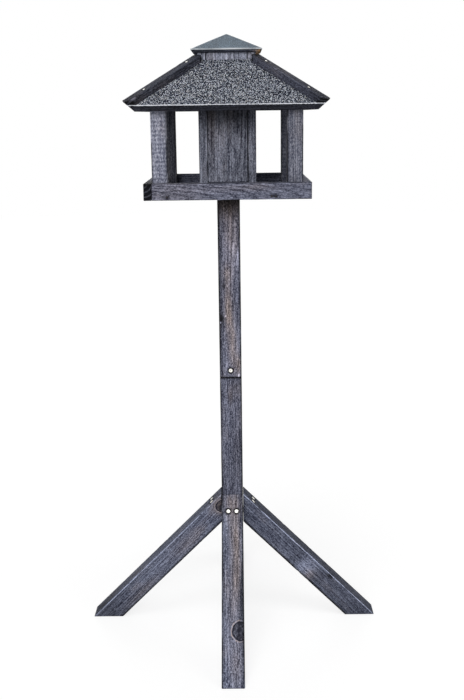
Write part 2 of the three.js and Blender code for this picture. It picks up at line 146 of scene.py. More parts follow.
PATCHES = {
    "post_upper": (
        # The dark tint at the top of the post is painted shade under the tray's overhang
        Patch("dark", (0, -22, 190), (60, 60, 30), 1.9),
        Patch("dark", (0, 0, -187), (60, 60, 2.2), 1.5),
        Patch("brown", (0, -22, 176), (60, 60, 30), 0.7),
        Patch("brown", (4, -22, 110), (15, 30, 55), 0.42),
        Patch("brown", (-4, -22, 30), (10, 30, 20), 0.45),
        Patch("brown", (-3, -22, -40), (8, 30, 52), 0.75),
        Patch("brown", (4, -22, -120), (9, 30, 50), 0.45),
        Patch("brown", (16, -22, -160), (9, 30, 24), 0.5),
        Patch("dark", (-20, -22, 0), (7, 60, 260), 0.4),
        Patch("dark", (-17, -22, -64), (5, 12, 9), 1.4),
        Patch("pale", (-9, -22, -58), (1.6, 8, 2.2), 2.2),
        Patch("pale", (-19, -22, -71), (1.6, 8, 2.2), 1.4),
        Patch("dark", (-12, -22, 4), (3, 10, 5), 1.0),
        Patch("dark", (12, -22, -30), (8, 20, 40), 0.22),
        Patch("pale", (16.5, -22, 67), (2.2, 8, 18), 1.1),
        Patch("pale", (12.5, -22, 49), (5, 8, 2.4), 0.9),
        Patch("pale", (8, -22, 80), (2.2, 8, 13), 0.9),
        Patch("pale", (15, -22, -20), (2.2, 8, 14), 0.7),
        Patch("pale", (16.5, -22, -182), (1.8, 8, 2.8), 2.4),
    ),
    "post_lower": (
        overall(0.22),
        Patch("dark", (0, 0, -40), (90, 90, 50), 0.12),
        Patch("dark", (0, 0, 174), (60, 60, 2.2), 1.2),
        Patch("brown", (-2, -22, 134), (4, 20, 18), 0.35),
        Patch("brown", (12, -22, 150), (16, 20, 20), 0.2),
        Patch("brown", (14, -22, 40), (8, 20, 60), 0.1),
        Patch("dark", (4, -22, 0), (6, 20, 200), 0.12),
        Patch("dark", (10, -22, 156), (3, 8, 3), 0.7),
        Patch("pale", (-16, -22, 60), (6, 8, 160), 0.12),
    ),
    "leg_front": (
        Patch("brown", (2, -22, 180), (24, 30, 34), 0.45),
        Patch("brown", (4, -22, 120), (11, 30, 44), 0.45),
        Patch("brown", (8, -22, 50), (9, 30, 70), 0.55),
        Patch("brown", (0, -22, -25), (16, 30, 80), 0.28),
        Patch("brown", (6, -22, -155), (14, 30, 44), 0.3),
        Patch("dark", (19, -22, -30), (6, 20, 62), 0.6),
        Patch("pale", (5.5, -22, -52), (1.5, 10, 18), 0.9),
        Patch("dark", (-16, -22, 90), (7, 20, 40), 0.25),
        Patch("pale", (-17, -22, 116), (5, 20, 24), 0.5),
        Patch("pale", (-4, -22, -165), (24, 20, 50), 0.16),
        overall(0.06),
        Patch("dark", (22, -22, -125), (4, 20, 14), 0.6),
    ),
    "leg_left": (
        overall(0.1),
        Patch("brown", (22, -3, 182), (30, 18, 20), 0.9),
        Patch("pale", (22.5, -22.5, 20), (1.4, 1.4, 400), 1.4),
        Patch("dark", (22, -16, 20), (30, 4, 400), 0.12),
        Patch("dark", (-21, -22.5, 0), (5, 4, 400), 0.8),
        Patch("brown", (22, 4, 70), (30, 14, 45), 0.3),
        Patch("brown", (22, 12, -81), (30, 10, 50), 0.3),
        Patch("pale", (22, 19, -60), (30, 2.4, 70), 0.35),
        Patch("dark", (22, -4, -170), (30, 26, 30), 0.2),
        Patch("dark", (22, 0, -200), (60, 60, 130), 0.42),
        Patch("dark", (0, -22, -170), (16, 8, 40), 0.4),
    ),
    "leg_right": (
        # The right leg is darkened all over with painted shade, as it turns from the key lamp, and
        # more towards its foot
        overall(0.36, 80),
        Patch("dark", (-22, 0, -170), (60, 60, 90), 0.27),
        Patch("pale", (-22.5, -22.5, 0), (1.2, 1.2, 400), 1.7),
        Patch("dark", (21, -22.5, 0), (5, 4, 400), 0.9),
        Patch("pale", (-22, 5, -6), (30, 26, 11), 0.42),
        Patch("pale", (-22, 0, -24), (30, 26, 12), 0.42),
        Patch("brown", (-22, 11, -34), (30, 11, 12), 0.4),
        Patch("dark", (-22, 0, 18), (30, 40, 10), 0.16),
        Patch("dark", (-22, 0, -50), (30, 40, 10), 0.16),
        Patch("dark", (-21, -22, -67), (6, 6, 6), 2.4),
        Patch("dark", (0, -22, 60), (18, 10, 120), 0.2),
    ),
    "tray_rail_front": (
        overall(0.1),
        Patch("brown", (0, -7, -110), (30, 20, 60), 0.3),
        Patch("brown", (6, -7, 20), (5, 20, 60), 0.35),
        Patch("dark", (0, -7, 110), (30, 20, 90), 0.14),
        Patch("dark", (-14, -7, 0), (4, 20, 300), 0.2),
        Patch("pale", (-14.6, -7, 0), (1.5, 20, 300), 0.5),
    ),
    "tray_rail_left": (
        overall(0.3),
        Patch("dark", (0, 0, 150), (90, 90, 8), 0.5),
        Patch("dark", (16, 0, 130), (4, 60, 60), 1.3),
    ),
    # The back rail and the back corner posts are darkened all over with painted shade, as they stand
    # inside under the roof; the front corner posts carry painted shade on their inner faces, and the
    # front right one is darker all over
    "tray_rail_back": (overall(0.42),),
    "corner_post_front_left": (Patch("dark", (15, 0, 0), (3, 60, 900), 0.7),),
    "corner_post_front_right": (
        overall(0.36),
        Patch("dark", (0, 15, 0), (60, 2.2, 900), 0.5),
    ),
    "corner_post_back_right": (overall(0.5),),
    "corner_post_back_left": (overall(0.95),),
    # On each silo board the dark tint just below the eaves is painted shade under the roof, and the
    # pale tint near its top is painted light on the collar above the roof
    "silo_board_front": (
        Patch("brown", (-30, -8, 30), (9, 20, 90), 0.45),
        Patch("brown", (6, -8, 40), (10, 20, 60), 0.3),
        Patch("dark", (36, -8, 0), (14, 30, 200), 0.2),
        Patch("dark", (0, 0, 18), (90, 90, 30), 1.0),
        Patch("pale", (0, 0, 116), (90, 90, 16), 0.35),
    ),
    "silo_board_left": (
        Patch("brown", (-55, 0, 0), (60, 60, 200), 0.35),
        Patch("dark", (0, 0, 24), (90, 90, 30), 0.75),
        Patch("pale", (0, 0, 122), (90, 90, 16), 0.5),
    ),
    "silo_board_right": (
        Patch("dark", (0, 0, 0), (60, 60, 400), 0.25),
        Patch("dark", (0, 0, 24), (90, 90, 30), 0.6),
        Patch("pale", (0, 0, 122), (90, 90, 16), 0.5),
    ),
    "lid_base": (Patch("brown", (0, 0, 62), (30, 90, 8), 3.2),),
}

# Knots: the place of the middle and the three half sizes, in the same way
Knot = namedtuple("Knot", "at half")
KNOTS = {
    "leg_front": Knot((14.5, -22, -90), (17.5, 15, 20.5)),
    "leg_left": Knot((22, -3, 181), (14, 14, 15)),
    "leg_back": Knot((-8, -22, 60), (14, 9, 13)),
    "post_lower": Knot((4, 22, -40), (9, 12, 13)),
    "silo_board_left": Knot((12, -8, -30), (9, 12, 11)),
    "silo_board_back": Knot((-18, -8, 10), (8, 12, 10)),
}
NO_KNOT = Knot((0, 0, 900), (9, 9, 9))

# Where the heart of the tree lies beside a piece, in mm, and how fast it comes nearer along it
Heart = namedtuple("Heart", "x y taper")
HEARTS = {
    "tray_rail_front": Heart(13, 17, 0.1),
    "tray_rail_left": Heart(-18, -10, 0),
}

# Arrises of the post and the legs, the roof boards' edges and the laths, each kind alike. Dark tints
# on the arrises are painted shade where the rounded edges turn from the light; the roof boards are
# darker all over, painted shade under the felt and darker stain, with a painted shadow line just below
# the felt's edge; and the laths carry painted shade along their sides over the felt.
for node in ("post_upper", "post_lower", "leg_front", "leg_back"):
    PATCHES[node] = PATCHES.get(node, ()) + tuple(
        Patch("dark", (x, y, 0), (4, 4, 400), 0.7) for x in (-22.5, 22.5) for y in (-22.5, 22.5))
for node, x in (("leg_left", 22.5), ("leg_right", -22.5)):
    PATCHES[node] += (
        Patch("dark", (x, 22.5, 0), (3.5, 3.5, 400), 1.8),
        Patch("dark", (0, -22.5, 0), (22, 3, 400), 0.25),
    )
for side in SIDES:
    PATCHES[f"roof_board_{side}"] = (
        Patch("dark", (0, 0, 0), (90, 200, 900), 1.1),
        Patch("dark", (8, 75, 0), (5, 14, 400), 0.9),
    )
for corner in CORNERS:
    PATCHES[f"hip_lath_{corner}"] = (
        Patch("dark", (0, 9, 0), (30, 5, 400), 0.54),
        *(Patch("dark", (x, -3, 0), (4, 6, 300), 0.8) for x in (11.5, -11.5)),
        Patch("dark", (0, 0, 84), (40, 40, 20), 0.5),
        *(Patch("pale", (x, 8.2, 0), (2.2, 2.2, 400), 0.62) for x in (11.5, -11.5)),
    )
# Painted light along the side of the front right lath that faces the key lamp
PATCHES["hip_lath_front_right"] += (Patch("pale", (-11.5, 0, 0), (5, 7, 400), 0.35),)


def from_display(red, green, blue):
    """A display colour, 0 to 255, as the linear colour that a shader takes."""
    shares = (red / 255, green / 255, blue / 255)
    return tuple(s / 12.92 if s <= 0.04045 else ((s + 0.055) / 1.055) ** 2.4 for s in shares)


def colour(name, description, display):
    """A colour that a user may change."""
    return FloatVectorProperty(
        name=name, description=description, subtype="COLOR", size=3, min=0, max=1,
        default=from_display(*display))


def length(name, description, metres):
    """A length that a user may change."""
    return FloatProperty(
        name=name, description=description, subtype="DISTANCE", unit="LENGTH", min=0,
        precision=5, default=metres)


def amount(name, description, value, most=4.0):
    """A plain number that a user may change."""
    return FloatProperty(
        name=name, description=description, subtype="FACTOR", min=0, max=most, default=value)


class TimberSettings(bpy.types.PropertyGroup):
    """Sizes of the mesh and of the wear on the timber"""

    arris: length("Arris", "Radius worn on the long edges of the post and legs", 1.6 * MM)
    board_arris: length("Board arris", "Radius worn on the edges of boards", 0.9 * MM)
    cell: length("Cell", "Distance between mesh lines on the timber", 5.5 * MM)
    wave: length("Wave", "How far the planed faces dip", 0.22 * MM)
    chip: length("Chips", "How deep the edges are knocked", 2.2 * MM)


class StainSettings(bpy.types.PropertyGroup):
    """Colours of the stained and bare timber"""

    post_light: colour("Post, light", "Pale grain of the post", (162, 165, 187))
    post_dark: colour("Post, dark", "Dark grain of the post", (31, 34, 54))
    leg_light: colour("Legs, light", "Pale grain of the legs", (166, 173, 198))
    leg_dark: colour("Legs, dark", "Dark grain of the legs", (32, 36, 57))
    tray_light: colour("Tray, light", "Pale grain of the tray", (158, 162, 184))
    tray_dark: colour("Tray, dark", "Dark grain of the tray", (34, 36, 52))
    corner_light: colour("Corner posts, light", "Pale grain of the posts", (190, 192, 208))
    corner_dark: colour("Corner posts, dark", "Dark grain of the posts", (70, 74, 93))
    silo_light: colour("Silo, light", "Pale grain of the silo", (184, 188, 206))
    silo_dark: colour("Silo, dark", "Dark grain of the silo", (23, 26, 44))
    roof_light: colour("Roof timber, light", "Pale grain of the roof timber", (120, 124, 144))
    roof_dark: colour("Roof timber, dark", "Dark grain of the roof timber", (24, 26, 36))
    brown_light: colour("Worn stain, light", "Pale wood under the stain", (192, 172, 162))
    brown_dark: colour("Worn stain, dark", "Dark wood under the stain", (66, 58, 54))
    knot: colour("Knot", "Stained knots", (40, 40, 50))
    bare_light: colour("Bare wood, light", "Pale grain of unstained wood", (196, 160, 116))
    bare_dark: colour("Bare wood, dark", "Dark grain of unstained wood", (138, 98, 62))
    rings: length("Rings", "Distance between growth rings", 4.2 * MM)


class RoofSettings(bpy.types.PropertyGroup):
    """Felt and lid"""

    granule: length("Granule", "Distance between granules of the felt", 1.55 * MM)
    felt_cell: length("Felt cell", "Distance between mesh lines on the felt", 1.9 * MM)
    grit: length("Grit", "How far the granules stand apart in height", 0.35 * MM)
    felt_glint: colour("Felt, glints", "The few white granules", (255, 255, 255))
    felt_light: colour("Felt, light", "Bright granules", (236, 243, 255))
    felt_middle: colour("Felt, middle", "Granules of a middle tone", (66, 73, 91))
    felt_dark: colour("Felt, dark", "Bitumen between the granules", (16, 18, 26))
    felt_edge: colour("Felt edge", "Pale cut edge of the felt", (222, 225, 233))
    sheet_light: colour("Sheet, light", "Pale specks of the lid", (103, 121, 136))
    sheet_dark: colour("Sheet, dark", "Dark specks of the lid", (38, 47, 57))
    # The pale of the folded edge is a painted highlight, where the fold catches the light
    sheet_edge_highlight: colour("Sheet edge", "Worn folded edge of the lid", (186, 190, 194))


class FastenerSettings(bpy.types.PropertyGroup):
    """Screws, nails and brads"""

    zinc: colour("Zinc", "Screw and nail heads", (255, 255, 252))
    tarnish: colour("Tarnish", "Dulled patches on the heads", (232, 226, 216))
    rust: colour("Brads", "Dulled brad heads", (92, 84, 80))
    shine: amount("Roughness", "Roughness of the heads", 0.34, 1.0)


class StageSettings(bpy.types.PropertyGroup):
    """Floor, background, lamps and camera"""

    background: colour("Background", "Backdrop and floor", (255, 255, 255))
    sky: amount("Sky", "Strength of the light from all round", 0.26)
    key: amount("Key lamp", "Strength of the lamp in front and to the left", 1.62, 20.0)
    top: amount("Top lamp", "Strength of the lamp above", 0.62, 20.0)
    fill: amount("Fill lamp", "Strength of the lamp at the right", 0.5, 20.0)
    back: amount("Back lamp", "Strength of the lamp behind", 0.9, 20.0)
    floor_glow: amount("Floor glow", "Share of the floor that stays white under shade", 0.7, 1.0)


class Shade:
    """One socket of a material's nodes. Arithmetic on it adds Math nodes."""

    def __init__(self, tree, socket=None):
        self.tree = tree
        self.socket = socket

    def node(self, kind, settings=None, sockets=None, output=0):
        """A node of this kind, its settings made first and its sockets given values or links."""
        made = self.tree.nodes.new(kind)
        for name, value in (settings or {}).items():
            if name == "stops":
                self._set_stops(made.color_ramp, value)
            else:
                setattr(made, name, value)
        self.fill(made, sockets or {})
        return Shade(self.tree, made.outputs[output])

    def fill(self, node, sockets):
        """Gives the sockets of a node their values or links."""
        for name, value in sockets.items():
            if isinstance(value, Shade):
                self.tree.links.new(value.socket, node.inputs[name])
            else:
                node.inputs[name].default_value = value

    @staticmethod
    def _set_stops(ramp, stops):
        while len(ramp.elements) < len(stops):
            ramp.elements.new(1.0)
        for element, (place, shade) in zip(ramp.elements, stops):
            element.position = place
            element.color = (*shade, 1.0)

    def _maths(self, operation, first, second=0.0):
        return self.node("ShaderNodeMath", {"operation": operation}, {0: first, 1: second})

    def __add__(self, other):
        return self._maths("ADD", self, other)

    __radd__ = __add__

    def __sub__(self, other):
        return self._maths("SUBTRACT", self, other)

    def __rsub__(self, other):
        return self._maths("SUBTRACT", other, self)

    def __mul__(self, other):
        return self._maths("MULTIPLY", self, other)

    __rmul__ = __mul__

    def __truediv__(self, other):
        return self._maths("DIVIDE", self, other)

    def __rtruediv__(self, other):
        return self._maths("DIVIDE", other, self)

    def __pow__(self, other):
        return self._maths("POWER", self, other)

    def __rpow__(self, other):
        return self._maths("POWER", other, self)

    def fraction(self):
        return self._maths("FRACT", self)

    def sine(self):
        return self._maths("SINE", self)

    def clipped(self):
        """The value kept between 0 and 1."""
        return self.node("ShaderNodeClamp", None, {0: self})

    def step(self, low, high):
        """0 below low, 1 above high and a smooth rise between them."""
        return self.node("ShaderNodeMapRange", {"interpolation_type": "SMOOTHSTEP"},
                         {0: self, 1: low, 2: high})

    def between(self, low, high):
        """This value as the share of the second of two colours."""
        return self.node("ShaderNodeMix", {"data_type": "RGBA"}, {0: self, 6: low, 7: high}, 2)

    def stretched(self, factors):
        """A vector times three factors."""
        return self.node("ShaderNodeVectorMath", {"operation": "MULTIPLY"}, {0: self, 1: factors})

    def shifted(self, other):
        """The sum of two vectors."""
        return self.node("ShaderNodeVectorMath", {"operation": "ADD"}, {0: self, 1: other})

    def times(self, factor):
        """A vector times one value."""
        return self.node("ShaderNodeVectorMath", {"operation": "SCALE"}, {0: self, "Scale": factor})

    def size(self):
        """The length of a vector."""
        return self.node("ShaderNodeVectorMath", {"operation": "LENGTH"}, {0: self}, 1)

    def part(self, axis):
        """One of the three parts of a vector."""
        return self.node("ShaderNodeSeparateXYZ", None, {0: self}, axis)

    def noise(self, factors, detail=2.0, rough=0.5, output=0):
        """Soft noise over a vector, with so many waves a metre along each part."""
        return self.node("ShaderNodeTexNoise", None, {
            "Vector": self.stretched(factors), "Scale": 1.0, "Detail": detail,
            "Roughness": rough}, output)

    def cells(self, factors, output="Color"):
        """Cells of random colour over a vector, with so many a metre along each part."""
        return self.node("ShaderNodeTexVoronoi", None, {
            "Vector": self.stretched(factors), "Scale": 1.0}, output)


def solid(shade):
    """A colour with its alpha."""
    return (*shade, 1.0)


def attribute(start, name, output="Fac"):
    """A value that the mesh carries."""
    return start.node("ShaderNodeAttribute", {"attribute_name": name}, None, output)


def new_material(name):
    """A material, a Shade to start its nodes from, and the place in the grain."""
    material = bpy.data.materials.new(name)
    material.use_nodes = True
    start = Shade(material.node_tree)
    return material, start, attribute(start, "grain", "Vector")


def finished(material, sockets):
    """The material, once its Principled node has its values and links."""
    principled = next(n for n in material.node_tree.nodes if n.type == "BSDF_PRINCIPLED")
    Shade(material.node_tree).fill(principled, sockets)
    return material


def relief(height, depth, strength=1.0):
    """A bumped normal from a height between 0 and 1."""
    return height.node("ShaderNodeBump", None, {
        "Strength": strength, "Distance": depth, "Height": height})


def timber_material(name, light, dark, stains, sawn, streaks, specks, rings):
    """Softwood under a thin stain: growth rings, fibres, knots, worn places, and painted shade and
    light.
    """
    material, start, grain = new_material(name)
    knot, tint = attribute(start, "knot", "Vector"), attribute(start, "tint", "Vector")
    edge, end = attribute(start, "edge"), attribute(start, "end")
    gloom, brown, pale = tint.part(0), tint.part(1), tint.part(2)

    # Growth rings, which bend round a knot
    reach = knot.size() + (grain.noise((130, 130, 110), 2) - 0.5) * 0.2
    bulge = 1.0 / (1.0 + reach ** 4.0)
    wander = grain.noise((9, 9, 2.2), 2, output="Color").shifted((-0.5, -0.5, -0.5))
    bent = grain.shifted(wander.times(0.01)).shifted(knot.times(bulge * -0.012))
    across = bent.stretched((1, 1, 0)).size() / stains.rings
    ring = (across * math.tau).sine() * 0.5 + 0.5
    late = (ring * ring).step(0.2, 0.95)
    arcs = (across * math.pi).sine().step(0.1, 0.9)

    # Finer grain, saw marks, worn places and drops
    streak = bent.noise((500, 500, 15), 3, 0.66)
    band = bent.noise((130, 130, 11), 2, 0.55)
    fibre = bent.noise((900, 900, 60), 2, 0.6)
    fleck = bent.noise((660, 660, 280), 2, 0.6)
    cloud = grain.noise((34, 34, 12), 3, 0.6)
    chatter = (grain.part(2) * SAW_MARKS + grain.noise((70, 70, 70)) * 5.0).sine() * sawn
    wear_and_highlight = edge * (grain.noise((60, 60, 17)) - 0.54).step(0.0, 0.06)
    spots = 1.0 - grain.cells((85, 85, 85), "Distance").step(0.07, 0.1)
    drop = spots * (grain.noise((19, 19, 11)) - 0.5).step(0.02, 0.07)

    tone = 0.5 + (fleck - 0.5) * (2.2 * specks) + (streak - 0.5) * (1.5 * streaks)
    tone = tone + (band - 0.5) * 0.35 + (cloud - 0.5) * 0.32 + (fibre - 0.5) * 0.6
    tone = tone - (late - 0.4) * 0.16 * rings + (arcs - 0.6) * end * 1.1 + chatter * 0.1
    tone = (tone + wear_and_highlight * 0.5 + drop * 0.9 + pale * 0.35).clipped() ** 1.6

    # Stain, thin where the brown wood shows, and bare wood where it is worn through
    stained = tone.between(solid(dark), solid(light))
    wood = tone.between(solid(stains.brown_dark), solid(stains.brown_light))
    thin = (cloud - 0.5).step(0.0, 0.25) * 0.22 + brown * (0.5 + band)
    coloured = thin.clipped().between(stained, wood)
    raw = tone.between(solid(stains.bare_dark), solid(stains.bare_light))
    coloured = (brown - 1.0).step(0.0, 1.0).between(coloured, raw)

    # Knots, with a darker heart and a bright rim
    inside = 1.0 - reach.step(0.9, 0.97)
    lip = reach.step(0.72, 0.92) * inside
    heart = ((inside * 0.74 - (fleck - 0.5) * 1.3 * inside) + lip * 0.45).clipped()
    knotty = heart.between(coloured, solid(stains.knot))
    rim = reach.step(0.97, 1.01) * (1.0 - reach.step(1.04, 1.12))
    bright = tone.between(solid(stains.brown_light), solid(light))
    rimmed = (rim * (0.55 - knot.part(0) * 0.6).clipped()).between(knotty, bright)

    # Light left in dark places: painted shade and dark stains where the dark tints lie, painted shade
    # along the arrises, darker end grain, and painted light and pale marks where the pale tints lie
    outline = edge * (1.0 - pale - wear_and_highlight).clipped()
    covered = gloom * (1.0 - pale).clipped() + outline * 1.15 + end * 0.6
    strength = GLOOM_LIGHT ** covered * (1.0 + pale * 0.4 + wear_and_highlight * 0.2)
    height = fibre * 0.3 + fleck * 0.4 + streak * 0.3 + late * 0.2 + chatter * 0.3 - lip * 0.5
    return finished(material, {
        "Base Color": rimmed.times(strength), "Roughness": 0.92 - tone * 0.2,
        "Normal": relief(height, 0.8 * MM), "Specular IOR Level": 0.14})


def bare_material(name, stains):
    """Unstained softwood, for the pieces that are hidden in use."""
    material, _, grain = new_material(name)
    wander = grain.noise((14, 14, 3), 2, output="Color").shifted((-0.5, -0.5, -0.5))
    bent = grain.shifted(wander.times(0.01))
    ring = (bent.stretched((1, 1, 0)).size() / stains.rings).fraction()
    late = ring.step(0.4, 0.95) * (1.0 - ring.step(0.95, 1.0))
    fibre = bent.noise((500, 500, 14), 3, 0.6)
    tone = (0.85 - late * 0.6 + (fibre - 0.5) * 0.7).clipped()
    return finished(material, {
        "Base Color": tone.between(solid(stains.bare_dark), solid(stains.bare_light)),
        "Roughness": 0.8 - fibre * 0.15, "Normal": relief(fibre, 0.4 * MM)})


def felt_material(roof):
    """Mineral granules pressed into bitumen, with a pale cut edge at the eaves."""
    material, start, grain = new_material("mineral_felt")
    cut = attribute(start, "end")
    pitch = (1 / roof.granule,) * 3
    lot = grain.cells(pitch)
    chip = 1.0 - grain.cells(pitch, "Distance").step(0.38, 0.6)
    fine = grain.noise((2.5 / roof.granule,) * 3, 2, 0.7)
    cloud = grain.noise((22, 22, 22), 2, 0.5)
    jumbled = chip * lot.part(0) ** 3.0
    tone = (jumbled + (fine - 0.5) * 0.24 + 0.02 + (cloud - 0.5) * 0.1).clipped()
    shade = tone.node("ShaderNodeValToRGB", {"stops": (
        (0.0, roof.felt_dark), (0.16, roof.felt_middle), (0.5, roof.felt_light))}, {0: tone})
    glint = chip * lot.part(1).step(0.9, 0.93)
    shade = glint.between(shade, solid(roof.felt_glint))
    ragged = (cut * 1.3 + (cloud - 0.5) * 0.9 + (fine - 0.5) * 0.7).step(0.5, 0.8)
    return finished(material, {
        "Base Color": ragged.between(shade, solid(roof.felt_edge)),
        "Roughness": 0.98 - jumbled * 0.2, "Normal": relief(tone, 0.5 * MM),
        "Specular IOR Level": 0.3})


def sheet_material(roof):
    """Grey sheet with a fine speckled coat, and a painted highlight along its folded edge."""
    material, start, grain = new_material("speckled_sheet")
    speck = grain.noise((520, 520, 520), 2, 0.7)
    cloud = grain.noise((30, 30, 30), 3, 0.6)
    tone = (0.5 + (speck - 0.5) * 5.0 + (cloud - 0.5) * 0.8).clipped()
    coat = tone.between(solid(roof.sheet_dark), solid(roof.sheet_light))
    # Painted highlight where the fold catches the light, from the edge values of the mesh
    wear_and_highlight = (attribute(start, "edge") * (0.7 + (cloud - 0.5) * 2.0)).clipped()
    return finished(material, {
        "Base Color": wear_and_highlight.between(coat, solid(roof.sheet_edge_highlight)),
        "Roughness": 0.5 + speck * 0.25,
        "Normal": relief(speck * 0.6 + cloud * 0.4, 0.35 * MM), "Metallic": 0.15})


def steel_material(name, bright, dull, shine):
    """Plated steel, dulled in patches."""
    material, _, grain = new_material(name)
    scratch = grain.noise((4000, 500, 4000), 2, 0.6)
    dulled = (grain.noise((900, 900, 900), 3, 0.6) - 0.42).step(0.0, 0.25)
    return finished(material, {
        "Base Color": dulled.between(solid(bright), solid(dull)),
        "Roughness": shine + dulled * 0.25 + scratch * 0.1,
        "Normal": relief(scratch, 0.05 * MM), "Metallic": 0.7})


# Kinds of timber: the slot, which arris it has, the stain, and how strong its saw marks,
# streaks, specks and rings are
Kind = namedtuple("Kind", "slot arris stain strengths")
KINDS = {
    "post": Kind("post_stain", "arris", "post", (0.0, 1.0, 1.0, 1.0)),
    "leg": Kind("leg_stain", "arris", "leg", (0.0, 1.0, 1.0, 1.0)),
    "splay": Kind("leg_stain", "arris", "leg", (0.0, 1.05, 0.85, 0.4)),
    "tray": Kind("tray_stain", "board_arris", "tray", (0.0, 0.8, 0.75, 1.3)),
    "sawn": Kind("tray_stain", "arris", "corner", (1.0, 0.45, 0.85, 0.4)),
    "corner": Kind("tray_stain", "arris", "corner", (0.0, 0.9, 0.9, 1.2)),
    "silo": Kind("silo_stain", "board_arris", "silo", (0.0, 1.15, 0.7, 0.5)),
    "roof": Kind("roof_stain", "board_arris", "roof", (0.0, 1.0, 1.0, 1.0)),
    "bare": Kind("bare_wood", "board_arris", None, ()),
}


def timber_finish(scene, kind):
    """The material of one kind of timber, made once."""
    name = f"{kind}_timber"
    if name in bpy.data.materials:
        return bpy.data.materials[name]
    stains = scene.bird_table_stains
    stain = KINDS[kind].stain
    if stain is None:
        return bare_material(name, stains)
    light, dark = getattr(stains, f"{stain}_light"), getattr(stains, f"{stain}_dark")
    return timber_material(name, light, dark, stains, *KINDS[kind].strengths)


def steel_finish(scene, name="zinc_steel"):
    """The material of the screws and nails, or of the brads, made once."""
    if name in bpy.data.materials:
        return bpy.data.materials[name]
    fasteners = scene.bird_table_fasteners
    if name == "zinc_steel":
        return steel_material(name, fasteners.zinc, fasteners.tarnish, fasteners.shine)
    return steel_material(name, fasteners.rust, fasteners.rust, BRAD_ROUGHNESS)


def quarter_turn(count):
    """A turn about the post, from the front side to the right one for a count of 1."""
    return Matrix.Rotation(count * math.pi / 2, 4, "Z")


def swung(points, turns):
    """Points moved round the post by quarter turns."""
    return [quarter_turn(turns) @ point for point in points]


def seed_of(name):
    """The same small number for a name on every run."""
    return sum((i + 1) * ord(letter) for i, letter in enumerate(name)) % SEEDS


def skin(bm, rings, closed=True, others=()):
    """Faces between rings of points, where a ring may be one point, and more faces besides."""
    for first, second in zip(rings, rings[1:]):
        count = max(len(first), len(second))
        for i in range(count if closed else count - 1):
            j = (i + 1) % count
            face = [first[i % len(first)], first[j % len(first)],
                    second[j % len(second)], second[i % len(second)]]
            bm.faces.new(list(dict.fromkeys(face)))
    for face in others:
        bm.faces.new(face)
    bmesh.ops.recalc_face_normals(bm, faces=bm.faces)


def edge_places(span, radius, cell, extra=()):
    """Where mesh lines cross an edge: close at the rounded ends, even between, and at extra places."""
    turn = radius * (1 - math.tan(math.pi / 8))
    rim = [0.0, turn, radius]
    if span > 4 * radius + cell / 2:
        rim.append(2 * radius)
    inner = span - 2 * rim[-1]
    steps = max(1, round(inner / cell))
    even = [rim[-1] + inner * i / steps for i in range(1, steps)]
    kept = [place for place in even if all(abs(place - other) > cell / 3 for other in extra)]
    return sorted({*rim, *(span - place for place in rim), *kept, *extra})


def block(corners, radius, cell, along=2, extra=((), (), ())):
    """A block with rounded edges, mapped onto eight corners, listed with x the quickest.

    The grain runs along one of its axes, and extra holds more mesh lines for each of the three.
    """

    def mean_span(axis):
        step = 1 << axis
        spans = [(corners[i + step] - corners[i]).length for i in range(8) if not i & step]
        return sum(spans) / len(spans)

    size = [mean_span(axis) for axis in range(3)]
    places = [edge_places(size[axis], radius, cell, extra[axis]) for axis in range(3)]
    last = [len(places[axis]) - 1 for axis in range(3)]
    bm = bmesh.new()
    edge_layer = bm.verts.layers.float.new("edge")
    end_layer = bm.verts.layers.float.new("end")
    made = {}

    def mapped(point):
        shares = [point[axis] / size[axis] for axis in range(3)]
        total = Vector((0, 0, 0))
        for i, corner in enumerate(corners):
            weight = 1.0
            for axis in range(3):
                weight *= shares[axis] if i >> axis & 1 else 1 - shares[axis]
            total += corner * weight
        return total

    def vertex(index):
        if index in made:
            return made[index]
        flat = Vector([places[axis][index[axis]] for axis in range(3)])
        inner = Vector([min(max(flat[a], radius), size[a] - radius) for a in range(3)])
        rounded = inner + (flat - inner).normalized() * radius
        vert = bm.verts.new(mapped(rounded))
        inset = [min(flat[a], size[a] - flat[a]) for a in range(3)]
        from_edge = max(inset[a] for a in range(3) if a != along)
        vert[edge_layer] = max(0.0, 1 - from_edge / (2 * radius))
        vert[end_layer] = max(0.0, 1 - inset[along] / radius)
        made[index] = vert
        return vert

    for axis in range(3):
        one, two = [a for a in range(3) if a != axis]
        for level in (0, last[axis]):
            for i in range(last[one]):
                for j in range(last[two]):
                    ring = []
                    for di, dj in ((0, 0), (1, 0), (1, 1), (0, 1)):
                        index = [0, 0, 0]
                        index[axis], index[one], index[two] = level, i + di, j + dj
                        ring.append(vertex(tuple(index)))
                    bm.faces.new(ring)
    bmesh.ops.recalc_face_normals(bm, faces=bm.faces)
    return bm


def weathered(bm, wave, chip, seed):
    """Dips the planed faces a little and knocks pieces off the edges, always inwards."""
    layer = bm.verts.layers.float["edge"]
    shift = Vector((seed * 3.7, seed * 1.3, -seed * 2.1))
    bm.normal_update()
    for vert in bm.verts:
        spot = vert.co / MM + shift
        dip = wave * (0.5 + 0.5 * noise.noise(spot / DIP_SPAN))
        knock = max(0.0, noise.noise(spot / KNOCK_SPAN) - KNOCK_FLOOR) * vert[layer] * chip
        vert.co -= vert.normal * (dip + knock)


def mesh_of(name, bm):
    """A mesh from a bmesh, which is used up."""
    mesh = bpy.data.meshes.new(name)
    bm.to_mesh(mesh)
    bm.free()
    return mesh


def placed(name, data):
    """An object that holds this data, in the scene."""
    made = bpy.data.objects.new(name, data)
    bpy.context.scene.collection.objects.link(made)
    return made


def smooth(mesh):
    mesh.polygons.foreach_set("use_smooth", [True] * len(mesh.polygons))
    mesh.set_sharp_from_angle(angle=SHARP_ANGLE)


